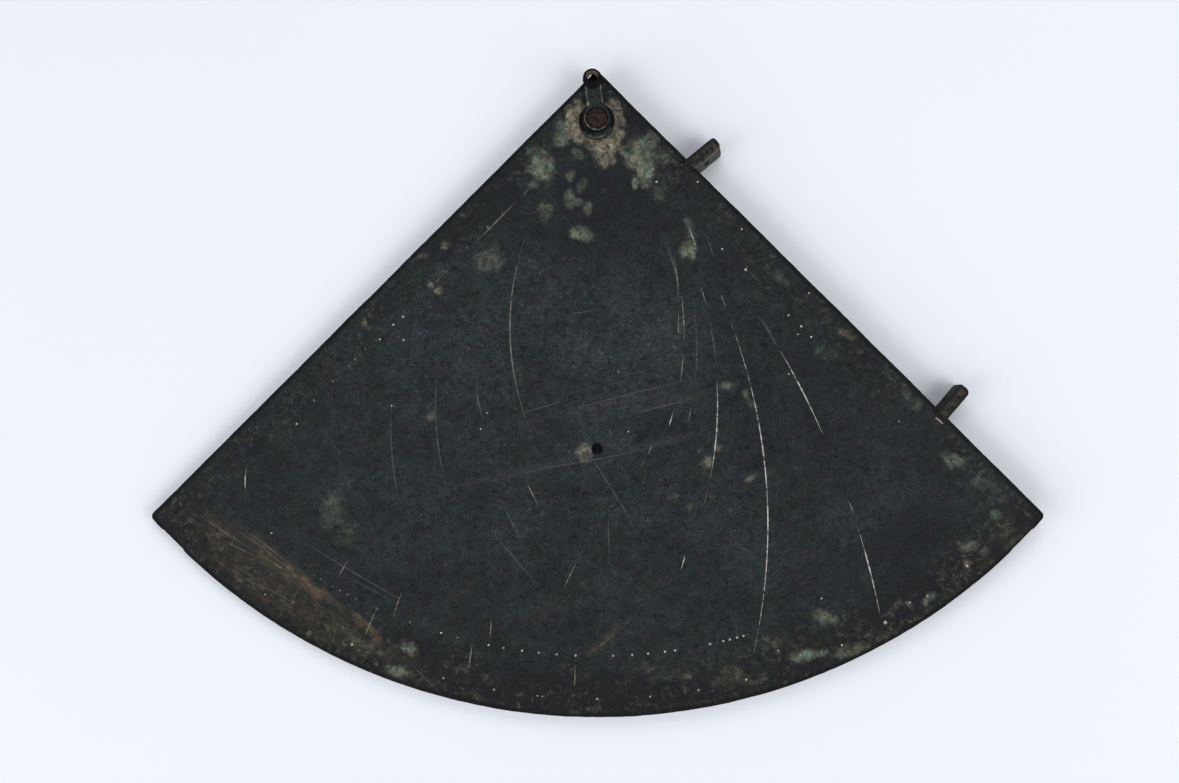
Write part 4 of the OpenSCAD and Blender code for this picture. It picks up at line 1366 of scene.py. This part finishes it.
def vane_parts(place):
    """The body and the tenon of one vane, with the tip's corners rounded and the sight hole open."""
    half = VANE_T / 2
    body = block((-half, 0, -VANE_DROP), (half, VANE_OUT, PLATE_T))
    for side, offset in ((-1, 0.45), (1, 0.85)):
        corner = [
            e for e in body.edges
            if all(v.co.y > VANE_OUT - 0.01 and v.co.x * side > 0.9 * half for v in e.verts)
        ]
        bmesh.ops.bevel(
            body, geom=corner, offset=offset, segments=4, profile=0.5, affect="EDGES", material=-1
        )
    solid = join([body], "vane_body")
    hole = rod(SIGHT_R, -2, 2, segments=24)
    turn = Matrix.Translation((0, SIGHT_OUT, SIGHT_Z)) @ Matrix.Rotation(math.radians(90), 4, "Y")
    bmesh.ops.transform(hole, matrix=turn, verts=hole.verts)
    cut(solid, join([hole], "sight_hole"))
    opened = bmesh.new()
    opened.from_mesh(solid.data)
    bpy.data.objects.remove(solid)
    tenon = block((-half, -TENON_DEPTH, 0), (half, 0.4, PLATE_T))
    for part in (opened, tenon):
        bmesh.ops.transform(part, matrix=place, verts=part.verts)
    return [opened, tenon]


def placed_spots(place, spots):
    """Round stains of [x, y, z, radius] on a vane, brought from its own directions to the part's."""
    return [(*(place @ Vector(spot[:3])), spot[3]) for spot in spots]


def make_vane(node, place, material, copper, pale_side, seed):
    """One sight vane, worn and stained, with painted shade as a black outline along its edges and its root.
    copper lists its copper stains, in the vane's own directions, and pale_side says how pale its side
    towards the limb is, as a painted highlight in place of the painted shade."""
    piece = worn_body(vane_parts(place), f"{node}_worn", grain=0.08, lumps=0.03, lump_size=0.9, seed=seed)
    mesh = piece.data
    store(mesh, "copper", spot_level(mesh, placed_spots(place, copper)))
    back = place.inverted()
    own = np.array([back @ Vector(p) for p in positions(mesh)])
    half = VANE_T / 2
    # Painted shade: a black outline on the far side, the tip and, unless pale_side lifts it, the side
    # towards the limb, and a dark root where the vane enters the notch
    far_side = fade(own[:, 0], -half + 0.7, -half + 0.25)
    limb_side = fade(own[:, 0], half - 0.6, half - 0.2)
    tip = fade(own[:, 1], VANE_OUT - 0.75, VANE_OUT - 0.3)
    outline = np.maximum(np.maximum(far_side, tip), (1 - pale_side) * limb_side)
    let_in = fade(own[:, 1], 0.2, -0.2)
    store(mesh, "outline", np.maximum(0.9 * outline, 0.72 * let_in))
    # Painted highlight: the side towards the limb made pale by pale_side
    raise_stored(mesh, "wear_and_highlight", pale_side * fade(own[:, 0], half - 0.15, half + 0.02) * (1 - tip))
    finish_piece(piece, material, "quadrant", [node])


def make_solder(node, place, material, clean):
    """The solder at the inner end of a notch. clean lists the places where it still shines."""
    half = VANE_T / 2 + NOTCH_FIT
    strip = block((-half, -TENON_DEPTH - SOLDER_T, 0.03), (half, -TENON_DEPTH, PLATE_T + 0.03))
    bmesh.ops.transform(strip, matrix=place, verts=strip.verts)
    piece = worn_body([strip], f"{node}_worn", grain=0.05, lumps=0.02, lump_size=0.4, seed=6.2)
    store(piece.data, "clean", spot_level(piece.data, placed_spots(place, clean)))
    finish_piece(piece, material, "quadrant", [node])


# The surroundings, in metres

BACKDROP = srgb(238, 243, 255)
WORLD_LIGHT = 0.44
FLOOR_R = 0.45
CARD_R = 0.13
CARD_HEIGHT = 0.23
LAMP_SIZE = 0.5
LAMP_DISTANCE = 0.7

# Each lamp's name, its direction and height in degrees, and the share of a plain white that it lends
LAMPS = [
    ["left_lamp", 205, 27, 0.24], ["right_lamp", -25, 38, 0.26], ["near_lamp", -100, 36, 0.1],
    ["far_lamp", 90, 46, 0.17]
]

# The camera's place in millimetres and its turns in degrees, which bring the outline where the photo has it
CAMERA_PLACE = Vector((-0.24, 5.16, 198.46))
CAMERA_TURNS = (1.01, 0.26, -0.04)


def first_vertex(node, key):
    """The vertex of a CAD node that comes first by a key."""
    return min((v.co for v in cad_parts[node].data.vertices), key=key).copy()


def make_floor():
    """A pale surface under the two vanes and the left corner of the limb, on which the quadrant lies."""
    feet = [
        first_vertex("upper_sight_vane", lambda co: co.z),
        first_vertex("lower_sight_vane", lambda co: co.z),
        first_vertex("quadrant_plate", lambda co: co.x + 50 * co.z)
    ]
    up = (feet[1] - feet[0]).cross(feet[2] - feet[0]).normalized()
    if up.z < 0:
        up = -up
    bm = bmesh.new()
    bmesh.ops.create_circle(bm, cap_ends=True, segments=96, radius=FLOOR_R)
    turn = Vector((0, 0, 1)).rotation_difference(up).to_matrix().to_4x4()
    bmesh.ops.transform(bm, matrix=Matrix.Translation(feet[0]) @ turn, verts=bm.verts)
    floor = to_object(bm, "pale_floor")
    f = Finish("pale_floor", roughness=0.9, specular=0.0)
    f.colour(f.mix(f.noise(60.0, 2.0), srgb(241, 245, 255), srgb(243, 247, 255)))
    floor.data.materials.append(f.material)


def make_world():
    """Even light from all sides, and the pale backdrop for what looks past the floor."""
    world = bpy.data.worlds.new("studio")
    bpy.context.scene.world = world
    world.use_nodes = True
    tree = world.node_tree
    tree.nodes.clear()
    ways = tree.nodes.new("ShaderNodeLightPath")
    shown = ways.outputs["Is Camera Ray"]
    for way in ("Is Glossy Ray", "Is Transmission Ray"):
        either = tree.nodes.new("ShaderNodeMath")
        either.operation = "MAXIMUM"
        tree.links.new(shown, either.inputs[0])
        tree.links.new(ways.outputs[way], either.inputs[1])
        shown = either.outputs["Value"]
    both = tree.nodes.new("ShaderNodeMixShader")
    tree.links.new(shown, both.inputs["Fac"])
    for socket, colour, strength in ((1, (1.0, 1.0, 1.0, 1.0), WORLD_LIGHT), (2, BACKDROP, 1.0)):
        background = tree.nodes.new("ShaderNodeBackground")
        background.inputs["Color"].default_value = colour
        background.inputs["Strength"].default_value = strength
        tree.links.new(background.outputs["Background"], both.inputs[socket])
    output = tree.nodes.new("ShaderNodeOutputWorld")
    tree.links.new(both.outputs["Shader"], output.inputs["Surface"])


def make_lamp(name, direction, height, level):
    """A soft lamp aimed at the plate."""
    data = bpy.data.lights.new(name, "AREA")
    data.shape = "SQUARE"
    data.size = LAMP_SIZE
    data.energy = level * math.pi ** 2 * LAMP_DISTANCE ** 2 / math.sin(math.radians(height))
    lamp = bpy.data.objects.new(name, data)
    bpy.context.scene.collection.objects.link(lamp)
    a = math.radians(direction)
    e = math.radians(height)
    away = Vector((math.cos(a) * math.cos(e), math.sin(a) * math.cos(e), math.sin(e)))
    lamp.location = away * LAMP_DISTANCE
    lamp.rotation_mode = "QUATERNION"
    lamp.rotation_quaternion = away.to_track_quat("Z", "Y")
    lamp.visible_camera = False


def make_card():
    """A black card above the camera, out of its sight, so that no light comes from straight above."""
    bm = bmesh.new()
    bmesh.ops.create_circle(bm, cap_ends=True, segments=64, radius=CARD_R)
    bmesh.ops.translate(bm, vec=(0, 0, CARD_HEIGHT), verts=bm.verts)
    card = to_object(bm, "black_card")
    f = Finish("black_card", roughness=1.0, specular=0.0)
    f.colour((0.0, 0.0, 0.0, 1.0))
    card.data.materials.append(f.material)
    card.visible_camera = False


def make_camera():
    """A camera above the plate, very nearly square to it."""
    data = bpy.data.cameras.new("overhead")
    data.lens = 40
    data.sensor_width = 36
    data.clip_start = 0.01
    camera = bpy.data.objects.new("overhead", data)
    bpy.context.scene.collection.objects.link(camera)
    camera.location = CAMERA_PLACE * MM
    camera.rotation_euler = [math.radians(turn) for turn in CAMERA_TURNS]
    bpy.context.scene.camera = camera


make_camera()
make_world()
for lamp in LAMPS:
    make_lamp(*lamp)
make_floor()
make_card()

make_plate()
patina = link_patina()
make_link(patina)
make_collar(patina)
make_rivet()
bronze = vane_bronze()
make_vane("upper_sight_vane", UPPER_VANE_PLACE, bronze, [(0.6, 4.5, 1.5, 0.7)], 0.8, 1.5)
make_vane(
    "lower_sight_vane", LOWER_VANE_PLACE, bronze,
    [(0.2, 4.1, 1.6, 0.8), (-0.1, -0.1, 1.6, 0.5)], 0.0, 7.5
)
solder = soft_solder()
make_solder("upper_vane_solder", UPPER_VANE_PLACE, solder, [(-0.75, -1.15, 1.6, 0.14)])
make_solder(
    "lower_vane_solder", LOWER_VANE_PLACE, solder,
    [(-0.35, -1.2, 1.6, 0.24), (0.0, -1.18, 1.6, 0.28), (0.35, -1.2, 1.6, 0.26), (0.7, -1.2, 1.6, 0.22)]
)

bpy.context.scene.view_settings.view_transform = "Standard"
